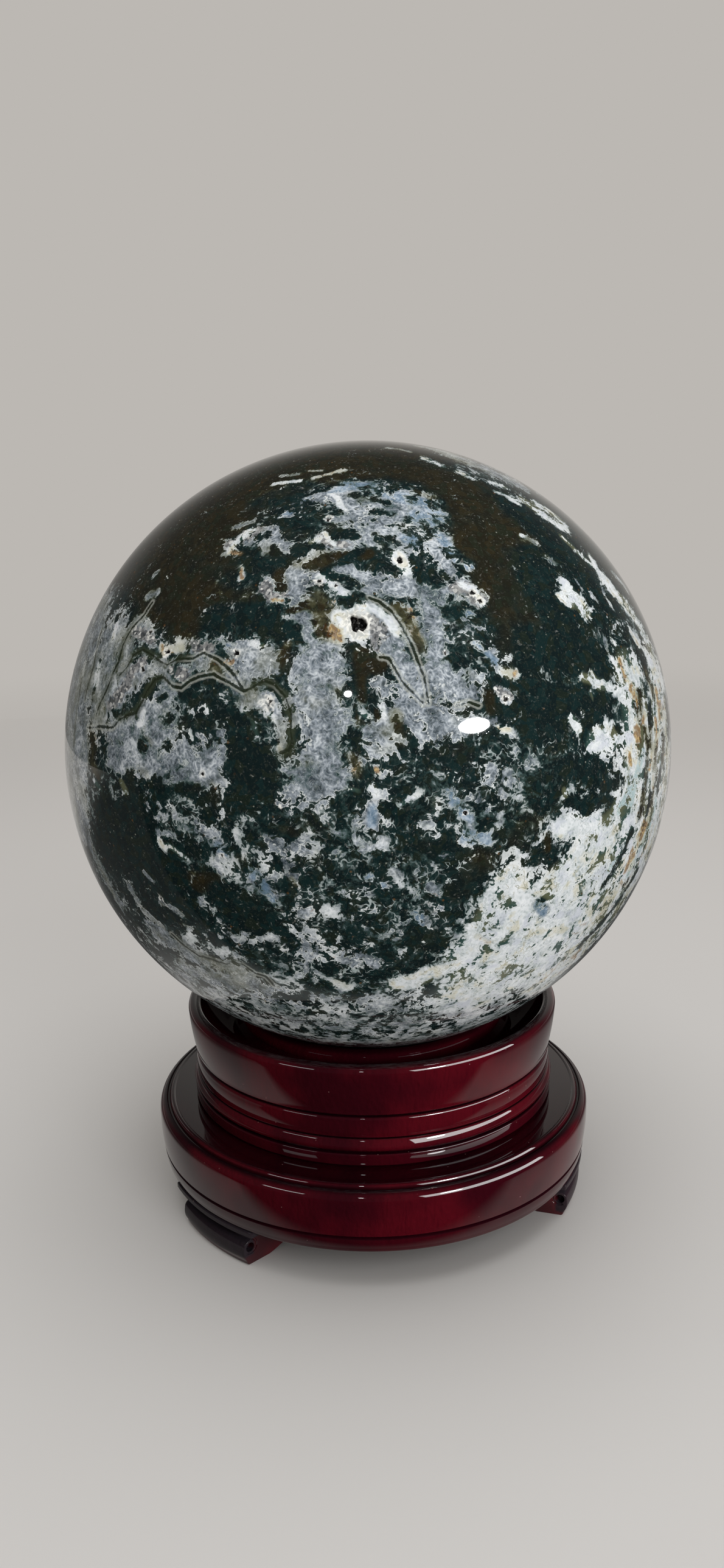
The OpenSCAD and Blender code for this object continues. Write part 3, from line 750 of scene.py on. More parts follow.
    ("rust", [(50.5, -6), (50, -8)], 0.5),
    ("rust", [(51, -12.5), (52, -14.5)], 0.7),
    ("fern", [(53.5, 8), (53, 2), (51.5, -6)], 0.8),
    ("rust", [(51, 15), (52, 12)], 1.1),
    ("rust", [(49.5, 8), (51, 5)], 1.1),
    ("cream", [(56, 4), (55.5, -6), (53, -13)], 1.2),
    ("mint", [(51.5, 4), (48, -1), (44.5, -4)], 1.5),
    ("mint", [(49, -9), (45, -14)], 1.2),
    ("fern", [(58, 0), (56, -5)], 0.8),
    ("fern", [(55.5, -12), (53.5, -19)], 0.8),
    ("rust", [(54, -9), (53, -13), (51, -15)], 1.0),
    ("mint", [(61, 4), (58, -8), (53, -17)], 1.2),
    ("rust", [(49, 20), (49.5, 17)], 0.7),
    ("cream", [(57, 24), (58.5, 21.5)], 0.6),
    ("fern", [(56, 9), (55, 5)], 0.9),
    ("mint", [(46.5, 0), (48, -3), (47, -5.5)], 0.9),
    ("fern", [(50.5, 12), (51, 9.5)], 0.5),
    ("fern", [(58, 17), (60, 13)], 0.7),
    ("teal", [(49, -9), (47, -13), (44, -17)], 0.7),
    ("teal", [(58, -18), (52, -25), (46, -31)], 0.7),
    ("moss", [(57, 12.5), (56, 9)], 0.8),
    ("fern", [(53, 14), (52.5, 11)], 0.9),
    ("fern", [(57.5, 4), (56.5, 1)], 0.8),
    ("moss", [(60, 0), (59, -4)], 0.8),
    ("rust", [(58.5, 8.5), (58, 5)], 0.8),
    ("fern", [(52, -3), (51, -7)], 0.8),
    ("teal", [(55, -3.5), (54, -7)], 0.6),
    ("fern", [(62, 6), (61.5, 1)], 1.0),
    # beyond the right limb
    ("lace", [(74, 4), (78, -6), (72, -18)], 5),
    ("milk", [(74, 14), (80, 8)], 2.5),
    ("night", [(69, 10), (67, 5)], 1.5),
    ("streak", [(70, -10), (77, -16), (70, -26)], 4),
]

# Hollows lined with crystals: place, radius and depth in millimetres, width of the white ring round it
agateHollows = [
    ((-1.6, 28.1), 3.0, 3.0, 2.3),
    ((-15.5, 16.2), 1.3, 1.6, 1.7),
    ((-8.6, 35.2), 0.9, 1.0, 1.1),
    ((-5.5, 34.4), 0.6, 0.8, 0.9),
    ((6.5, 38.8), 1.3, 1.5, 1.1),
    ((-35.8, 23.3), 1.1, 1.3, 0.9),
    ((-8.2, 47.6), 0.9, 1.0, 1.0),
    ((-21.8, 23.4), 1.1, 1.2, 1.0),
    ((-41.5, 26.2), 0.9, 1.0, 0.7),
    ((-40.8, 20.3), 1.1, 1.2, 0.5),
    ((-13.2, 1.2), 0.6, 0.8, 0.6),
    ((-26, 5.2), 0.7, 0.8, 0.9),
    ((21.5, 15.8), 0.9, 1.1, 1.1),
    ((19.2, 32.6), 1.0, 1.2, 0.9),
    ((20.2, 31.2), 0.9, 1.0, 0.8),
    ((12.4, 23.2), 0.7, 0.8, 0.6),
    ((-23.3, -7.3), 0.6, 0.7, 0.8),
    ((14, -0.6), 0.8, 1.0, 0.5),
    ((-38, -17), 0.7, 0.8, 0.7),
]

# Thin olive seams that run through the pale stone, with a pale band beside them
agateSeams = [
    [(-47, 19), (-45, 20.5), (-44, 22.5), (-42, 23.5), (-40, 23), (-37, 22), (-35, 21.5), (-33, 22.5),
     (-30, 22.5), (-28, 23.5), (-26.5, 23), (-25, 22.5), (-23.5, 21.5), (-22, 20), (-20, 17.5)],
    [(-55, 9.5), (-50.5, 10.5), (-46.5, 11), (-44.5, 12.5), (-41, 13.5), (-40, 15), (-38.5, 17.5), (-37.5, 19),
     (-35.5, 19.5), (-33, 18), (-31, 18), (-29.5, 19), (-28, 19.5), (-25, 20), (-22, 18.5), (-20, 17.5),
     (-18.5, 18), (-16.5, 19), (-14.5, 18.5), (-12.5, 17), (-11.5, 14.5), (-11.5, 12.5), (-11.3, 10),
     (-12, 9), (-13.5, 8.5)],
    [(-44, 32), (-45, 29.5), (-47, 27), (-48.5, 24), (-48, 21), (-50, 17), (-52, 12)],
    [(0, 32), (2, 31.5), (4, 30), (5.5, 28), (7, 25.5), (8.3, 22.5), (9.3, 20), (9.5, 16)],
    [(2, 22.5), (3.5, 22.3), (4.3, 21), (5.5, 19), (7, 17.5), (8.5, 16)],
    [(-39, -24), (-37, -26), (-34.5, -28), (-31.5, -28), (-28.5, -28.5), (-26.5, -27.5), (-24.5, -28),
     (-22.5, -29.5), (-20.5, -30), (-19.5, -32.5)],
    [(-60, 26), (-58, 20), (-58, 14)],
    [(-64, 22), (-62, 14), (-62, 6)],
    [(14, 15.5), (16, 15.8), (17.5, 15)],
]


def onBall(turn, rise):
    t, r = math.radians(turn), math.radians(rise)
    return np.array([math.cos(r) * math.sin(t), -math.cos(r) * math.cos(t), math.sin(r)])


def awayFromLine(places, line):
    # angle in degrees from every place to a line of (turn, rise) points
    knots = [onBall(*spot) for spot in line]
    best = np.full(len(places), 9.0)
    for a, b in zip(knots, knots[1:]):
        along = b - a
        t = np.clip((places - a) @ along / max(along @ along, 1e-9), 0, 1)
        away = np.linalg.norm(places - (a + t[:, None] * along), axis=1)
        best = np.minimum(best, away)
    return np.degrees(best)


def wandering(places):
    # moves every place along smooth noise, a little in front and more behind, so that no edge runs straight
    behind = easeStep(places[:, 1], -0.45, 0.0) * ball["wanderBehind"]
    moved = []
    for p, more in zip(places, behind):
        v = Vector(p)
        slow = noise.noise_vector(v * ball["wanderScale"])
        quick = noise.noise_vector(v * ball["rippleScale"] + Vector((7, 3, 5)))
        moved.append(v + slow * (ball["wander"] + more) + quick * (ball["ripple"] + more * 0.4))
    moved = np.array(moved)
    return moved / np.linalg.norm(moved, axis=1)[:, None]


def farSideMap():
    # the side away from the front carries the same stones in other places
    draw = random.Random(21)
    kinds = ["moss", "teal", "frost", "milk", "lace", "night", "smoke", "sky", "net", "haze", "bark", "crystal"]
    patches = []
    for i in range(90):
        turn, rise = draw.uniform(84, 276), draw.uniform(-75, 60)
        lean, length = draw.uniform(-40, 40), draw.uniform(4, 22)
        end = (turn + length * math.cos(math.radians(lean)), rise + length * math.sin(math.radians(lean)))
        patches.append((kinds[i % len(kinds)], [(turn, rise), end], draw.uniform(1.5, 8)))
    patches.sort(key=lambda patch: -patch[2])
    return patches


def readPlaces(piece):
    flat = np.zeros(len(piece.data.vertices) * 3)
    piece.data.vertices.foreach_get("co", flat)
    return flat.reshape(-1, 3)


def writePlaces(piece, places):
    piece.data.vertices.foreach_set("co", places.ravel())
    piece.data.update()


def outward(piece):
    out = readPlaces(piece) - np.array(ballCentre)
    return out / np.linalg.norm(out, axis=1)[:, None]


def store(piece, name, values):
    layer = piece.data.attributes.new(name, "FLOAT", "POINT")
    layer.data.foreach_set("value", values.astype(np.float32))


def easeStep(values, low, high):
    t = np.clip((values - low) / (high - low), 0, 1)
    return t * t * (3 - 2 * t)


def refine(piece, near, cuts):
    # a finer mesh where near is true
    startEditing(piece)
    bpy.ops.mesh.select_all(action="DESELECT")
    stopEditing()
    counts = np.zeros(len(piece.data.polygons), int)
    piece.data.polygons.foreach_get("loop_start", counts)
    corners = np.zeros(len(piece.data.loops), int)
    piece.data.loops.foreach_get("vertex_index", corners)
    chosen = np.logical_or.reduceat(near[corners], counts)
    piece.data.polygons.foreach_set("select", chosen)
    startEditing(piece)
    bpy.ops.mesh.subdivide(number_cuts=cuts)
    bpy.ops.mesh.select_all(action="DESELECT")
    stopEditing()
    writePlaces(piece, np.array(ballCentre) + outward(piece) * ballRadius)


def makeBallMesh():
    bpy.ops.mesh.primitive_cube_add(size=2 * ballRadius, location=ballCentre)
    piece = settle(activeNamed("agateBall"))
    startSelected(piece)
    bpy.ops.mesh.subdivide(number_cuts=ball["cuts"])
    stopEditing()
    # equal angles along the cube's sides, so that the faces stay even on the ball
    places = (readPlaces(piece) - np.array(ballCentre)) / ballRadius
    writePlaces(piece, np.array(ballCentre) + np.tan(places * math.pi / 4) * ballRadius)
    writePlaces(piece, np.array(ballCentre) + outward(piece) * ballRadius)

    out = wandering(outward(piece))
    near = np.zeros(len(out), bool)
    for kind, line, reach in agateMap:
        if reach < ball["fineLine"]:
            near |= awayFromLine(out, line) < reach + 0.3
    for line in agateSeams:
        near |= awayFromLine(out, line) < 0.9
    refine(piece, near, 1)

    out = outward(piece)
    loose = wandering(out)
    near = np.zeros(len(out), bool)
    for line in agateSeams:
        near |= awayFromLine(loose, line) < 0.5
    for spot, radius, depth, ring in agateHollows:
        near |= np.linalg.norm(out - onBall(*spot), axis=1) * ballRadius < (radius * 1.5 + 0.8) * mm
    refine(piece, near, 1)

    out = outward(piece)
    near = np.zeros(len(out), bool)
    for spot, radius, depth, ring in agateHollows:
        near |= np.linalg.norm(out - onBall(*spot), axis=1) * ballRadius < (radius * 1.3 + 0.3) * mm
    refine(piece, near, 1)
    return piece


def paintBallMap(piece):
    loose = wandering(outward(piece))
    fields = np.tile(np.array(stoneKinds["net"]), (len(loose), 1))
    for kind, line, reach in farSideMap() + agateMap:
        away = awayFromLine(loose, line)
        soft = min(ball["softest"], 0.3 + reach * 0.55)
        laid = 1 - easeStep(away, reach - soft, reach + soft)
        fields += (np.array(stoneKinds[kind]) - fields) * laid[:, None]
        fields[:, 1] += laid * (1 - laid) * ball["ragged"]
    for key, values in zip(stoneKeys, fields.T):
        store(piece, key, values)
    seam = np.full(len(loose), 99.0)
    for line in agateSeams:
        seam = np.minimum(seam, awayFromLine(loose, line))
    store(piece, "seam", seam * math.radians(1) * ballRadius / mm)
    store(piece, "sides", easeStep(outward(piece)[:, 1], -0.62, -0.25))


def sinkHollows(piece):
    out = outward(piece)
    places = readPlaces(piece)
    deep, ring, sink = (np.zeros(len(out)) for i in range(3))
    for spot, radius, depth, ringWidth in agateHollows:
        away = np.linalg.norm(out - onBall(*spot), axis=1) * ballRadius / mm
        for i in np.nonzero(away < radius * 3 + ringWidth * 2)[0]:
            v = Vector(places[i] / mm)
            ragged = away[i] + (noise.noise(v * 1.1 / radius) * 0.75 + noise.noise(v * 2.6 / radius) * 0.3) * radius
            inside = 1 - float(easeStep(np.array(ragged), radius * 0.60, radius * 0.95))
            crystals = noise.noise(v * 1.4) * 0.30 + noise.noise(v * 3.1) * 0.12
            sink[i] = max(sink[i], inside * depth * (0.85 + crystals))
            deep[i] = max(deep[i], inside)
            halo = 1 - float(easeStep(np.array(ragged), radius + ringWidth * 0.2, radius + ringWidth * 1.7))
            ring[i] = max(ring[i], halo * min(1.0, 0.40 + radius * 0.2))
    writePlaces(piece, places - out * (sink * mm)[:, None])
    store(piece, "hollow", deep)
    store(piece, "ring", ring)


def mossAgate():
    g = Graph("mossAgate")
    plain = g.place(ballCentre)
    tone, mottle, milk, olive, warm, blue, druse = [g.painted(key) for key in stoneKeys]
    seam, hollow, ring = g.painted("seam"), g.painted("hollow"), g.painted("ring")

    # everything follows one slow drift, so that the layers flow together
    sides = g.painted("sides")
    spot = g.drifted(plain, 0.09, 1.5, 5.5)
    near = g.drifted(spot, 0.45, 0.0, 1.2)
    still = g.drifted(plain, 0.30, 0.0, 1.6)
    along = g.drifted(g.place(ballCentre, (0.7, 1.0, 0.7)), 0.09, 1.5, 6.0)
    plume = g.noise(spot, 0.11, 6.0, 0.60) - 0.5
    bands = g.noise(along, 0.11, 6.0, 0.60) - 0.5
    lobes = g.noise(near, 0.26, 3.0, 0.55) - 0.5
    shreds = g.noise(along, 0.30, 3.0, 0.55) - 0.5
    fine = g.noise(near, 0.75, 2.0, 0.55) - 0.5
    coarse = plume + (bands - plume) * sides
    middling = lobes + (shreds - lobes) * sides
    field = tone + mottle * (coarse * 3.4 + middling * 4.0 + fine * (2.0 + sides * 1.5))
    inWhite = g.step(milk, 0.55, 0.95)
    cloud = g.noise(spot, 0.07, 4.0, 0.55) - 0.5
    field = field - ring * 3.0 + inWhite * cloud * 2.6

    # wrinkles: fine worm-like ridges that run through all of the stone
    wormWide = abs(g.noise(still, 0.34, 1.0, 0.5) - 0.5)
    wormThin = abs(g.noise(still, 0.75, 0.0) - 0.5)
    wrinkle = (0.10 - wormWide) * 3.0 + (0.10 - wormThin) * 2.6
    haze = g.noise(spot, 0.035, 2.0, 0.5) - 0.5
    deep = g.noise(spot, 0.16, 3.0, 0.55) - 0.5
    # where the border between moss and pale stone is soft, and where it is crisp
    soft = g.step(g.noise(spot, 0.055, 2.0, 0.5), 0.38, 0.60) * (1 - g.step(milk, 0.50, 0.90) * 0.8)

    # moss: black-green to olive brown, in small clumps, with pale and rusty grains in it
    brown = g.step(olive + cloud * 1.6, 0.20, 0.80)
    clump = g.cells(near, 0.36, "F1", 1)
    grain = g.noise(near, 1.0, 3.0, 0.65)
    dark = g.mix(brown, srgb(15, 27, 28), srgb(32, 30, 21))
    dark = g.mix(g.step(clump, 0.50, 0.72) * 0.6, dark, g.mix(brown, srgb(20, 41, 41), srgb(46, 41, 26)))
    dark = g.mix(g.step(1 - clump, 0.62, 0.80) * 0.5, dark, srgb(32, 40, 29))
    dark = g.mix(g.step(grain, 0.50, 0.72) * 0.45, dark, srgb(56, 60, 52))
    edge = 1 - g.step(field, 0.0, 0.80)
    dark = g.mix(edge * (0.25 + soft * 0.55), dark, g.mix(brown, srgb(58, 76, 74), srgb(78, 78, 56)))
    dark = g.mix(inWhite * 0.65, dark, g.mix(g.step(cloud, -0.06, 0.10), srgb(58, 86, 80), srgb(104, 108, 82)))
    dots = g.cells(plain, 0.42, "F1")
    which = g.cells(plain, 0.42, "F1", 1)
    pepper = (1 - g.step(dots, 0.05, 0.18)) * g.step(which, 0.62, 0.68) * (0.25 + g.step(mottle, 0.5, 0.8) * 0.75)
    dark = g.mix(pepper * 0.7, dark, srgb(150, 154, 142))
    rustDots = (1 - g.step(dots, 0.14, 0.26)) * (1 - g.step(which, 0.10, 0.14))
    dark = g.mix(rustDots * 0.6, dark, srgb(98, 68, 36))

    # chalcedony: grey to milk white, granular, with moss seen dimly through it
    thick = g.step(field * -1, 0.0, 1.3)
    level = 0.32 + thick * 0.26 + deep * 1.4 + haze * 1.0 + wrinkle * 0.55
    greyStone = g.ramp(level, (0.05, (52, 62, 70)), (0.35, (94, 104, 112)), (0.62, (134, 143, 152)),
                       (0.98, (196, 203, 209)))
    whiteStone = g.ramp(level, (0.00, (160, 170, 171)), (0.22, (192, 200, 202)), (0.48, (207, 213, 216)),
                        (0.92, (224, 228, 231)))
    pale = g.mix(g.step(milk + cloud * 1.0 + fine * 0.6, 0.25, 0.70), greyStone, whiteStone)
    cast = g.mix(inWhite, srgb(106, 142, 174), srgb(122, 160, 162))
    pale = g.mix(g.step(blue + cloud, 0.50, 1.00) * (0.42 + inWhite * 0.18), pale, cast)
    tint = g.noise(spot, 0.14, 3.0, 0.55)
    tinted = inWhite * g.step(mottle, 0.82, 1.05)
    pale = g.mix(tinted * g.step(tint, 0.53, 0.64) * 0.55, pale, srgb(202, 196, 168))
    pale = g.mix(tinted * g.step(1 - tint, 0.53, 0.64) * 0.45, pale, srgb(180, 186, 202))
    threads = (1 - g.step(wormWide, 0.006, 0.034)) * g.step(haze + cloud, -0.06, 0.06) * tinted
    pale = g.mix(threads * 0.65, pale, g.mix(g.step(tint, 0.46, 0.54), srgb(84, 116, 108), srgb(130, 128, 96)))
    pale = g.mix(g.step(warm + cloud * 1.5, 0.20, 0.90) * 0.5, pale, srgb(206, 198, 160))
    pale = g.mix(g.step(olive + cloud * 1.4, 0.25, 0.75) * 0.45, pale, srgb(126, 128, 102))
    clouded = g.step(field, -0.95, 0.0) * soft
    pale = g.mix(clouded * 0.80, pale, g.mix(brown, srgb(78, 98, 98), srgb(98, 98, 76)))
    broken = g.step(g.noise(spot, 0.16, 3.0, 0.6), 0.38, 0.56)
    rim = g.step(field, -0.45, -0.20) * (1 - g.step(field, -0.16, 0.04) * 0.5) * broken * (1 - soft * 0.5)
    pale = g.mix(rim * 0.80, pale, srgb(216, 221, 221))
    vein = 1 - g.step(abs(field + 0.80), 0.0, 0.07)
    pale = g.mix(vein * 0.40, pale, srgb(74, 82, 78))
    layers = abs(g.maths("FRACT", field * 2.4) - 0.5)
    pale = g.mix((1 - g.step(layers, 0.02, 0.10)) * (1 - milk) * 0.30, pale, srgb(206, 212, 210))

    # crystals: grey grains with white and black between them
    grains = g.cells(plain, 0.85, "F1", 1)
    sparkle = g.ramp(grains, (0.15, (44, 44, 44)), (0.45, (104, 104, 104)), (0.70, (150, 150, 148)),
                     (0.92, (226, 226, 222)))
    pale = g.mix(g.step(druse + fine * 1.6, 0.35, 0.75) * 0.8, pale, sparkle)

    # iron stain
    stain = g.noise(spot, 0.16, 5.0, 0.6, 0.8)
    rusty = g.step(stain + warm * 0.36, 0.68, 0.82)
    rustTone = g.mix(g.step(wormWide, 0.01, 0.07), srgb(182, 150, 88), srgb(124, 88, 40))
    rustTone = g.mix(g.step(grain, 0.46, 0.62) * 0.6, rustTone, srgb(84, 66, 40))
    pale = g.mix(rusty * 0.80, pale, rustTone)
    dark = g.mix(rusty * g.step(warm, 0.3, 0.8) * 0.6, dark, srgb(84, 54, 26))

    # white curls in the mixed stone
    curl = abs(g.noise(near, 0.24, 2.0, 0.5) - 0.5)
    curls = (1 - g.step(curl, 0.008, 0.032)) * g.step(g.noise(plain, 0.10, 2.0), 0.46, 0.60)
    curls = curls * g.step(mottle, 0.70, 0.95) * (1 - g.step(field, 0.40, 1.20))
    dark = g.mix(curls * 0.75, dark, srgb(176, 188, 188))

    width = 0.05 + soft * 0.16
    colour = g.mix(g.step(field, width * -1, width), pale, dark)

    # seams: a thin dark line between pale bands, with olive stone beyond them
    apart = abs(seam + fine * 0.8)
    beyond = (1 - g.step(apart + coarse * 5.0, 0.6, 3.0)) * g.step(haze, -0.10, 0.06)
    colour = g.mix(beyond * 0.50, colour, srgb(64, 70, 50))
    band = g.step(apart, 0.35, 0.8) * (1 - g.step(apart, 0.9, 1.7)) * (1 - g.step(haze, -0.06, 0.06))
    colour = g.mix(band * 0.45, colour, srgb(182, 186, 178))
    line = 1 - g.step(apart + deep * 1.2, 0.22, 0.62)
    colour = g.mix(line * 0.9, colour, srgb(32, 38, 26))

    milky = g.mix(g.step(wrinkle, -0.2, 0.35), srgb(186, 188, 184), srgb(236, 236, 230))
    colour = g.mix(g.step(ring + fine * 0.9 + wrinkle * 0.3, 0.15, 0.85) * 0.92, colour, milky)
    # painted shade: the hollows' insides are painted near black, with grey grains
    glitter = g.cells(plain, 1.1, "F1", 1)
    inside = g.mix(g.step(glitter, 0.5, 0.9), srgb(14, 12, 11), srgb(84, 82, 78))
    colour = g.mix(g.step(hollow, 0.15, 0.6), colour, inside)

    rough = 0.03 + hollow * 0.35
    pits = g.step(g.noise(plain, 0.9, 2.0, 0.5), 0.26, 0.33)
    normal = g.bump(pits, 0.10, 0.05)
    return g.finish(Base_Color=colour, Roughness=rough, IOR=1.54, Normal=normal)


def makeBall():
    piece = makeBallMesh()
    paintBallMap(piece)
    sinkHollows(piece)
    smooth(piece, 60)
    paint(piece, mossAgate())
    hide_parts("stone_ball")
    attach(piece, "ball")


makeBall()
print("ball polished")


# ---- lacquer ----

def lacquer(name, dull=0.0, wellWide=0.0, grooves=(), reflectedToeFrom=None, shadedBelow=0.0):
    # deep red under a thick gloss coat that has flowed a little. Painted shade makes it darker on level faces, in
    # grooves, below a given height and inside a well, where the coat is also thin and dull; a painted reflection turns
    # it dark grey beyond a given radius
    g = Graph(name)
    spot = g.place()
    around = g.add("ShaderNodeVectorMath", {"operation": "LENGTH"}, {0: g.place(stretch=(1, 1, 0))}, output=1)
    height = g.add("ShaderNodeSeparateXYZ", {}, {0: spot}, output=2)
    facing = g.add("ShaderNodeSeparateXYZ", {}, {0: g.add("ShaderNodeTexCoord", output=1)}, output=2)
    drift = g.noise(spot, 0.030, 2.0, 0.5)
    grain = g.noise(g.place(stretch=(1, 1, 0.12)), 0.9, 4.0, 0.6, 0.4)
    red = g.mix(g.step(drift, 0.36, 0.66), srgb(34, 3, 8), srgb(56, 5, 12))
    red = g.mix(g.step(grain, 0.45, 0.75) * 0.3, red, srgb(26, 1, 5))
    # painted shade: faces that look up are painted darker
    red = g.mix(g.step(facing, 0.60, 0.95) * 0.85, red, srgb(12, 1, 3))
    well = 1 - g.step(around, wellWide / 2 - 1.5, wellWide / 2)
    bare = well * 0.95
    # painted shade: each groove is painted near black, and its coat is thinner
    for radius, level in grooves:
        aside, over = around - radius, height - level
        inGroove = 1 - g.step(aside * aside + over * over, 0.3, 3.2)
        red = g.mix(inGroove * 0.80, red, srgb(10, 1, 3))
        bare = bare + inGroove * 0.4
    # painted shade: below the given height the red is painted darker
    if shadedBelow:
        red = g.mix((1 - g.step(height, shadedBelow - 0.5, shadedBelow + 0.5)) * 0.55, red, srgb(22, 2, 6))
    # painted reflection: beyond the given radius and above the toe's lowest edge, the red is painted dark grey, as a
    # dark room mirrored in the toe, with a thinner coat
    if reflectedToeFrom:
        worn = g.step(height + (drift - 0.5) * 12, 1.2, 3.0)
        toeReflection = g.step(around, reflectedToeFrom, reflectedToeFrom + 1.5) * worn
        red = g.mix(toeReflection * 0.90, red, srgb(26, 23, 27))
        bare = bare + toeReflection * 0.60
    dust = g.cells(spot, 0.16, "F1")
    red = g.mix((1 - g.step(dust, 0.02, 0.05)) * 0.4, red, srgb(130, 100, 98))
    # painted shade: the red is painted darker inside the well under the ball
    red = g.mix(well * 0.40, red, srgb(20, 1, 4))
    flow = g.noise(spot, 0.055, 3.0, 0.5)
    upright = g.place(stretch=(1, 1, 0.65))
    waves = g.noise(upright, 0.20, 2.0, 0.5)
    ripples = g.noise(upright, 0.60, 2.0, 0.5)
    specks = g.step(g.noise(spot, 0.42, 1.0, 0.3), 0.74, 0.79)
    relief = flow + waves * 1.0 + ripples * 0.8 + specks * 0.10
    normal = g.bump(relief, 0.80, 0.5)
    return g.finish(Base_Color=red, Roughness=0.5 + dull, Specular_IOR_Level=0.0, Coat_Weight=g.largest(1 - bare, 0.05),
                    Coat_Roughness=0.03 + dull * 0.5, Coat_IOR=1.50, Normal=normal)


# ---- the drum ----

drum = {
    "width": 168.4, "height": 43, "lip": 3.2, "taper": 2.6, "bead": 5.5, "fascia": 9.7, "plinth": 5,
    "plinthSet": 1.8, "groove": 2.0, "quirk": 0.8, "edge": 0.6, "fasciaEdge": 1.6,
    "seat": 112.4, "seatBead": 3.9, "seatDrop": 5.2, "channel": 2.3, "channelWidth": 5.5,
    "floor": 19.9, "fillet": 3, "lipInner": 150,
}


def drumOutline():
    d = drum
    lipX, lipZ = d["width"] / 2 - d["lip"], d["height"] - d["lip"]
    bandX = d["width"] / 2 - d["taper"]
    plinthX = d["width"] / 2 - d["plinthSet"]
    beadZ = d["plinth"] + d["quirk"] + d["bead"] / 2
    grooveLow = beadZ + d["bead"] / 2
    grooveHigh = grooveLow + d["fascia"]
    fasciaX = bandX - 0.2
    seatZ = d["height"] - d["seatDrop"] - d["seatBead"]
    wellX = d["seat"] / 2 - d["seatBead"]
    channelX = d["seat"] / 2 + d["seatBead"] + d["channelWidth"] / 2
    channelZ = seatZ - d["channel"]
    e, groove, beadX = d["edge"], d["groove"], plinthX + 0.4
    inner = math.radians(d["lipInner"])
    lipEnd = (lipX + d["lip"] * math.cos(inner), lipZ + d["lip"] * math.sin(inner))
    return ([(0, 0), (plinthX * 0.5, 0)]
            + arcPoints(plinthX - e, e, e, -90, 0, 5)
            + arcPoints(plinthX - e, d["plinth"] - e, e, 0, 90, 5)
            + [(plinthX - groove, d["plinth"]), (plinthX - groove, d["plinth"] + d["quirk"])]
            + arcPoints(beadX - 2.0, beadZ - 0.7, 2.0, -80, 0, 10)
            + swellPoints((beadX, beadZ - 0.5), (beadX - 1.1, beadZ + 2.2), 0.10, 8)
            + arcPoints(beadX - 1.9, beadZ + 1.9, 0.8, 30, 85, 5)
            + [(fasciaX - groove, grooveLow), (fasciaX - 0.3, grooveLow + 0.5)]
            + swellPoints((fasciaX - 0.3, grooveLow + 0.6), (fasciaX, grooveHigh - d["fasciaEdge"] - 0.6), 0.3, 8)
            + arcPoints(fasciaX - d["fasciaEdge"], grooveHigh - d["fasciaEdge"] - 0.4, d["fasciaEdge"], 0, 75, 8)
            + [(bandX - groove, grooveHigh)]
            + arcPoints(bandX - e, grooveHigh + 0.5 + e, e, -60, 0, 5)
            + swellPoints((bandX, grooveHigh + 1.2), (lipX + d["lip"], lipZ), 0.35, 12)
            + arcPoints(lipX, lipZ, d["lip"], 8, d["lipInner"], 18)
            + swellPoints(lipEnd, (channelX + d["channelWidth"] / 2, channelZ + 0.8), -1.2, 12)
            + arcPoints(channelX, channelZ + 0.5, 1.2, -60, -120, 5)
            + arcPoints(d["seat"] / 2, seatZ, d["seatBead"], -20, 180, 28)
            + arcPoints(wellX - d["fillet"], d["floor"] + d["fillet"], d["fillet"], 0, -90, 8)
            + [(wellX * 0.5, d["floor"]), (0, d["floor"])])


def makeDrum():
    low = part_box("drum")[0].z / mm
    piece = turnOnLathe("turnedDrum", [(x, z + low) for x, z in drumOutline()])
    smooth(piece, 32)
    d = drum
    radius, bandLow = d["width"] / 2, low + d["plinth"] + d["quirk"] + d["bead"]
    grooves = [(radius - d["plinthSet"] - d["groove"], low + d["plinth"] + d["quirk"] / 2),
               (radius - d["taper"] - d["groove"], bandLow),
               (radius - d["taper"] - d["groove"], bandLow + d["fascia"])]
    # painted shade darkens the drum's well, its grooves and its plinth
    paint(piece, lacquer("drumLacquer", wellWide=d["width"] - 2.7 * d["lip"], grooves=grooves,
                         shadedBelow=low + d["plinth"] + 0.3))
    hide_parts("drum")
    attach(piece, "drum")


makeDrum()
print("drum turned")


# ---- the base ----

base = {
    "width": 198.4, "height": 27.3, "lowBand": 7, "shoulder": 4.5, "grooveWidth": 3, "grooveDepth": 1.6,
    "ring": 2.2, "ringRise": 0.35, "lowSet": 1, "lowEdge": 1.2, "vee": 1.2, "grooveIn": 3.6,
    "pocketWidth": 121, "pocketDepth": 8, "accessWidth": 14, "accessTurn": 45,
}
bearing = {"width": 120, "lowerWide": 9, "upperWide": 11, "gap": 2.6, "wall": 3, "flange": 3, "screws": 4}
bearing["lowerScrewX"] = bearing["width"] / 2 - (bearing["lowerWide"] - bearing["wall"]) / 2
bearing["upperScrewX"] = (bearing["width"] / 2 - bearing["lowerWide"] - bearing["gap"] - bearing["wall"]
                          - (bearing["upperWide"] - bearing["wall"]) / 2)


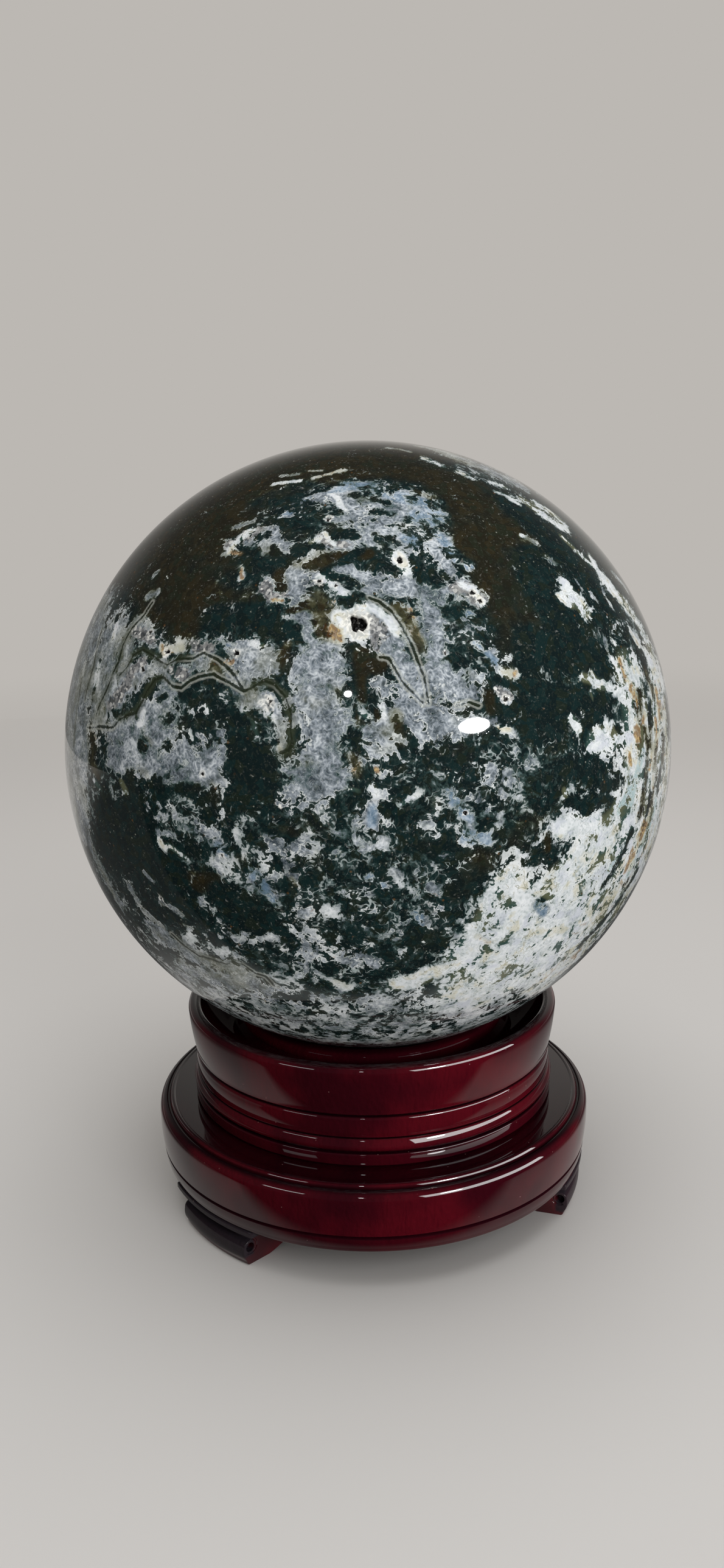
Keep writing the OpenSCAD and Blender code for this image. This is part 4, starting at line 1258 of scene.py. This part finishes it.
def baseOutline():
    b = base
    radius = b["width"] / 2
    lowX = radius - b["lowSet"]
    grooveX = radius - b["grooveIn"]
    ringX = grooveX - b["grooveWidth"] / 2 - b["ring"] / 2
    floorZ = b["height"] - b["pocketDepth"]
    return ([(0, 0), (lowX * 0.5, 0)]
            + arcPoints(lowX - b["lowEdge"] - 0.8, b["lowEdge"], b["lowEdge"], -90, -20, 6)
            + swellPoints((lowX - 0.8, b["lowEdge"] + 0.4), (lowX, b["lowBand"] - 0.9), 0.2, 6)
            + [(lowX - b["vee"], b["lowBand"])]
            + swellPoints((radius - 0.8, b["lowBand"] + 0.7), (radius, b["height"] - b["shoulder"] - 0.8), 0.35, 12)
            + arcPoints(radius - b["shoulder"], b["height"] - b["shoulder"] - 0.8, b["shoulder"], 0, 72, 12)
            + [(grooveX, b["height"] - b["grooveDepth"]), (grooveX - 0.7, b["height"] - b["grooveDepth"])]
            + swellPoints((grooveX - 0.8, b["height"] - b["grooveDepth"] + 0.1),
                          (grooveX - b["grooveWidth"] / 2, b["height"]), 0.12, 6)
            + arcPoints(ringX, b["height"] - b["ring"] / 2 + b["ringRise"], b["ring"] / 2, 40, 140, 10)
            + [(ringX - b["ring"] / 2 - 0.2, b["height"]), (b["pocketWidth"] / 2 + 6, b["height"])]
            + [(b["pocketWidth"] / 2, b["height"]), (b["pocketWidth"] / 2, floorZ), (30, floorZ), (0, floorZ)])


def makeBase():
    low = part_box("base_disc")[0].z / mm
    piece = turnOnLathe("turnedBase", [(x, z + low) for x, z in baseOutline()])
    turn = math.radians(base["accessTurn"])
    hole = addCylinder("accessHole", base["accessWidth"] / 2, low - 2, low + base["height"] - base["pocketDepth"] + 2,
                       bearing["upperScrewX"] * math.cos(turn), bearing["upperScrewX"] * math.sin(turn))
    cut(piece, hole)
    smooth(piece, 32)
    b = base
    radius, top = b["width"] / 2, low + b["height"]
    grooves = [(radius - b["grooveIn"], top - b["grooveDepth"]),
               (radius - b["lowSet"] - b["vee"], low + b["lowBand"])]
    # painted shade darkens the base's grooves and its low band
    paint(piece, lacquer("baseLacquer", grooves=grooves, shadedBelow=low + b["lowBand"]))
    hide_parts("base_disc")
    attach(piece, "base")


makeBase()
print("base turned")


# ---- the feet ----

foot = {
    "turn": 223, "height": 17.7, "width": 43, "length": 32, "pad": 11, "belly": 3.2, "toeIn": 4.2,
    "flange": 2.6, "flangeIn": 1.6, "wing": 5, "bulgeIn": 2.8, "neck": 5.6, "neckRound": 2.2, "toeEdge": 1.2,
    "edge": 0.6, "eye": 2.0, "eyeDepth": 3.0, "eyeRim": 0.9, "boss": 1.2, "sweep": 30,
    "screwWide": 4.2, "screwApart": 22, "headWide": 8.2, "headDeep": 5.7,
    "curlTurns": 0.8, "curlGrowth": 1.7, "curlWide": 0.55,
}
foot["toeX"] = base["width"] / 2 - foot["toeIn"]
foot["screwX"] = foot["toeX"] - foot["pad"] - 4
foot["eyeX"] = (math.sqrt((base["width"] / 2 - foot["bulgeIn"]) ** 2 - (foot["width"] / 2) ** 2)
                - foot["eyeRim"] - foot["eye"])
foot["eyeZ"] = (foot["height"] - foot["flange"]) * 0.45 + 1


def footOutline():
    f = foot
    toeX, heelX = f["toeX"], f["toeX"] - f["length"]
    bulgeX, bulgeZ = base["width"] / 2 - f["bulgeIn"], (f["height"] - f["flange"]) * 0.45
    neckX, neckZ = base["width"] / 2 - f["flangeIn"] - f["neck"], f["height"] - f["flange"] - f["neckRound"]
    roundX = neckX + f["neckRound"]
    topZ = f["height"] - f["flange"] / 2
    return (arcPoints(toeX - f["toeEdge"], f["toeEdge"], f["toeEdge"], -90, -10, 6)
            + swellPoints((toeX, f["toeEdge"] + 0.4), (bulgeX, bulgeZ + 1), 0.7, 8)
            + swellPoints((bulgeX - 0.1, bulgeZ + 2),
                          (neckX + f["neckRound"] * 0.5, neckZ - f["neckRound"] * 0.9), 0.6, 6)
            + arcPoints(roundX, neckZ, f["neckRound"], 215, 90, 8)
            + [(roundX, topZ), (heelX, topZ)]
            + swellPoints((heelX, f["height"] - f["flange"]), (toeX - f["pad"], 0), f["belly"], 12))


def flangeOutline():
    edgeX, heelX = base["width"] / 2 - foot["flangeIn"], foot["toeX"] - foot["length"]
    low, e = foot["height"] - foot["flange"], foot["edge"]
    return ([(heelX, low)] + arcPoints(edgeX - e, low + e, e, -90, 0, 5)
            + arcPoints(edgeX - e, foot["height"] - e, e, 0, 90, 5) + [(heelX, foot["height"])])


def ringBlock(name, points, width):
    # a stretch of a turned ring along +X, sawn off straight on both sides
    piece = drawOutline(name, points, closed=True)
    piece.data.transform(Matrix.Rotation(math.radians(foot["sweep"]), 4, "Z"))
    startSelected(piece)
    bpy.ops.mesh.spin(steps=30, angle=math.radians(2 * foot["sweep"]), center=(0, 0, 0), axis=(0, 0, 1))
    for side in (-1, 1):
        bpy.ops.mesh.select_all(action="SELECT")
        bpy.ops.mesh.bisect(plane_co=(0, side * width / 2 * mm, 0), plane_no=(0, side, 0),
                            use_fill=True, clear_outer=True)
    bpy.ops.mesh.select_all(action="SELECT")
    bpy.ops.mesh.remove_doubles(threshold=0.002 * mm)
    bpy.ops.mesh.normals_make_consistent(inside=False)
    stopEditing()
    return piece


def addPeg(name, radius, length, x, y, z):
    # a round bar along Y
    bpy.ops.mesh.primitive_cylinder_add(vertices=32, radius=radius * mm, depth=length * mm,
                                        location=(x * mm, y * mm, z * mm), rotation=(math.pi / 2, 0, 0))
    return settle(activeNamed(name))


def curlCutter(x, y, z):
    # a round wire that winds out from the scroll's eye
    f = foot
    steps = 30
    points = []
    for i in range(steps + 1):
        t = i / steps
        a = math.radians(-60) - t * f["curlTurns"] * 2 * math.pi
        r = f["eye"] + f["curlWide"] + f["curlGrowth"] * t
        points.append((x + r * math.cos(a), z + r * math.sin(a)))
    wire = drawOutline("curlCutter", points)
    wire.data.transform(Matrix.Translation((0, y * mm, 0)))
    bpy.ops.object.convert(target="CURVE")
    wire = bpy.context.active_object
    wire.data.bevel_depth = f["curlWide"] * mm
    wire.data.bevel_resolution = 3
    wire.data.use_fill_caps = True
    bpy.ops.object.convert(target="MESH")
    return settle(activeNamed("curlCutter"))


def makeFoot():
    f = foot
    body = ringBlock("footBody", footOutline(), f["width"])
    applyModifier(body, "BEVEL", width=0.45 * mm, segments=3, limit_method="ANGLE", angle_limit=math.radians(50))
    eyeX, eyeZ = f["eyeX"], f["eyeZ"]
    for side in (-1, 1):
        face = side * f["width"] / 2
        cut(body, addPeg("eyeCutter", f["eye"], f["eyeDepth"] + 1, eyeX, face - side * (f["eyeDepth"] / 2 - 0.5), eyeZ))
        cut(body, curlCutter(eyeX, face + side * 0.12, eyeZ))
        bpy.ops.mesh.primitive_uv_sphere_add(segments=20, ring_count=12, radius=f["boss"] * mm,
                                             location=(eyeX * mm, (face - side * f["eyeDepth"]) * mm, eyeZ * mm))
        cut(body, settle(activeNamed("eyeBoss")), "UNION")
    flange = ringBlock("footFlange", flangeOutline(), f["width"] + 2 * f["wing"])
    applyModifier(flange, "BEVEL", width=0.35 * mm, segments=2, limit_method="ANGLE", angle_limit=math.radians(50))
    cut(body, flange, "UNION")
    for side in (-1, 1):
        y = side * f["screwApart"] / 2
        cut(body, addCylinder("screwHole", f["screwWide"] / 2, -1, f["height"] + 1, f["screwX"], y, 32))
        cut(body, addCylinder("headHole", f["headWide"] / 2, -1, f["headDeep"], f["screwX"], y, 32))
    smooth(body, 35)
    return body


def makeFeet():
    pattern = makeFoot()
    eyeAway = math.hypot(foot["eyeX"], foot["width"] / 2)
    # painted shade fills the scroll's eye as a groove, and a painted reflection darkens the toe
    material = lacquer("footLacquer", dull=0.10, reflectedToeFrom=foot["toeX"] - 4, grooves=[(eyeAway, foot["eyeZ"])])
    for i, node in enumerate(("foot_front_left", "foot_front_right", "foot_back")):
        piece = ownCopy(pattern, "carved_" + node, foot["turn"] + 120 * i)
        paint(piece, material)
        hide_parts(node)
        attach(piece, "base")
    bpy.data.objects.remove(pattern)


makeFeet()
print("feet carved")


# ---- the screws ----

screwSizes = {
    "foot": {"shank": 4, "length": 22.6, "headWide": 7.4, "headHigh": 2.4, "plain": 7},
    "race": {"shank": 3, "length": 10.35, "headWide": 5.1, "headHigh": 1.65, "plain": 1},
}


def makeScrew(name, size):
    # a countersunk cross-head screw that points up, its head's underside at the origin
    outer, core = size["shank"] / 2, size["shank"] * 0.34
    length, high, wide = size["length"], size["headHigh"], size["headWide"] / 2
    pitch, plain = size["shank"] * 0.42, size["plain"]
    piece = turnOnLathe(name, [(0, -high), (wide - 0.25, -high), (wide, -high + 0.25), (outer, 0), (outer, plain),
                               (core, plain + 0.5), (core, length - 2.2), (0, length)], 24)
    turns = int((length - plain - 1.6) / pitch)
    ridge = drawOutline("ridge", [(core - 0.15, plain), (outer, plain + pitch * 0.25),
                                  (core - 0.15, plain + pitch * 0.5)], closed=True)
    startSelected(ridge)
    bpy.ops.mesh.delete(type="ONLY_FACE")
    stopEditing()
    applyModifier(ridge, "SCREW", angle=2 * math.pi, screw_offset=pitch * mm, iterations=turns, steps=16,
                  render_steps=16, use_smooth_shade=False)
    startEditing(ridge)
    bpy.ops.mesh.select_all(action="SELECT")
    bpy.ops.mesh.remove_doubles(threshold=0.002 * mm)
    bpy.ops.mesh.fill_holes(sides=3)
    bpy.ops.mesh.select_all(action="SELECT")
    bpy.ops.mesh.normals_make_consistent(inside=False)
    stopEditing()
    cut(piece, ridge, "UNION")
    for turn in (0, 90):
        bpy.ops.mesh.primitive_cube_add(size=1, location=(0, 0, -high * mm), rotation=(0, 0, math.radians(turn)),
                                        scale=(wide * 1.15 * mm, size["shank"] * 0.2 * mm, high * 1.1 * mm))
        cut(piece, settle(activeNamed("crossCutter")))
    smooth(piece, 30)
    return piece


def placeScrews(name, pattern, places, node, body, material):
    # places: turn, radius and height of each screw, and whether it points down
    copies = []
    for i, (turn, x, y, z, down) in enumerate(places):
        twin = ownCopy(pattern, name + str(i))
        if down:
            twin.data.transform(Matrix.Rotation(math.pi, 4, "X"))
        twin.data.transform(Matrix.Rotation(math.radians(turn), 4, "Z") @ Matrix.Translation((x * mm, y * mm, z * mm)))
        copies.append(twin)
    bpy.ops.object.select_all(action="DESELECT")
    for twin in copies:
        twin.select_set(True)
    bpy.context.view_layer.objects.active = copies[0]
    bpy.ops.object.join()
    piece = activeNamed(name)
    paint(piece, material)
    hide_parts(node)
    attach(piece, body)


def makeScrews():
    steel = machinedMetal("screwSteel", srgb(178, 178, 182), 0.22)
    footScrew, raceScrew = [makeScrew(kind + "Screw", size) for kind, size in screwSizes.items()]
    footZ = foot["headDeep"] - 0.1
    places = [(foot["turn"] + 120 * i, foot["screwX"], side * foot["screwApart"] / 2, footZ, False)
              for i in range(3) for side in (-1, 1)]
    placeScrews("woodScrews", footScrew, places, "foot_screws", "base", steel)
    raceHead = screwSizes["race"]["headHigh"]
    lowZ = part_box("lower_race")[0].z / mm + bearing["flange"] - raceHead
    places = [(90 * i, bearing["lowerScrewX"], 0, lowZ, True) for i in range(bearing["screws"])]
    placeScrews("lowerRaceScrews", raceScrew, places, "lower_race_screws", "base", steel)
    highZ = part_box("upper_race")[1].z / mm - bearing["flange"] + raceHead
    places = [(45 + 90 * i, bearing["upperScrewX"], 0, highZ, False) for i in range(bearing["screws"])]
    placeScrews("upperRaceScrews", raceScrew, places, "upper_race_screws", "drum", steel)
    for pattern in (footScrew, raceScrew):
        bpy.data.objects.remove(pattern)


# ---- carried-over pieces ----

def machinedMetal(name, colour, rough):
    g = Graph(name)
    spot = g.place()
    rings = g.noise(g.place(stretch=(1, 1, 6)), 0.8, 3.0, 0.6)
    tint = g.mix(g.step(rings, 0.35, 0.7), colour, tuple(c * 0.8 for c in colour))
    worn = g.noise(spot, 0.25, 4.0, 0.6)
    return g.finish(Base_Color=tint, Metallic=1.0, Roughness=g.step(worn, 0.2, 0.9) * 0.2 + rough,
                    Normal=g.bump(rings, 0.1, 0.02))


def mouldedNylon():
    g = Graph("mouldedNylon")
    spot = g.place()
    cloud = g.noise(spot, 0.3, 3.0, 0.5)
    colour = g.mix(cloud, srgb(226, 222, 206), srgb(236, 234, 224))
    return g.finish(Base_Color=colour, Roughness=0.5, Normal=g.bump(g.noise(spot, 3.0, 2.0), 0.1, 0.02))


def finishCarriedOver():
    race = machinedMetal("zincRace", srgb(190, 192, 196), 0.28)
    looks = {"lower_race": race, "upper_race": race, "ball_cage": mouldedNylon(),
             "race_balls": machinedMetal("ballSteel", srgb(196, 198, 204), 0.12)}
    for name, material in looks.items():
        paint(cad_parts[name], material)


makeScrews()
print("screws driven")
finishCarriedOver()
print("carried-over pieces finished")

def aimLights():
    # the small lights leave the floor alone, and the two long ones are only caught by the stand's polish
    pieces = [p for p in bpy.context.scene.objects if p.type == "MESH" and p.name not in ("floor", "tent", "floorShade")]
    turned = [p for p in pieces if p.name.startswith(("turned", "carved"))]
    for name in ("side", "glow"):
        addLight(name, "RECTANGLE")
    for group, lights, lit in (("object", ("window", "lamp"), pieces), ("stand", ("side", "glow"), turned)):
        receivers = bpy.data.collections.new(group)
        for piece in lit:
            receivers.objects.link(piece)
        for name in lights:
            bpy.data.objects[name].light_linking.receiver_collection = receivers


aimLights()
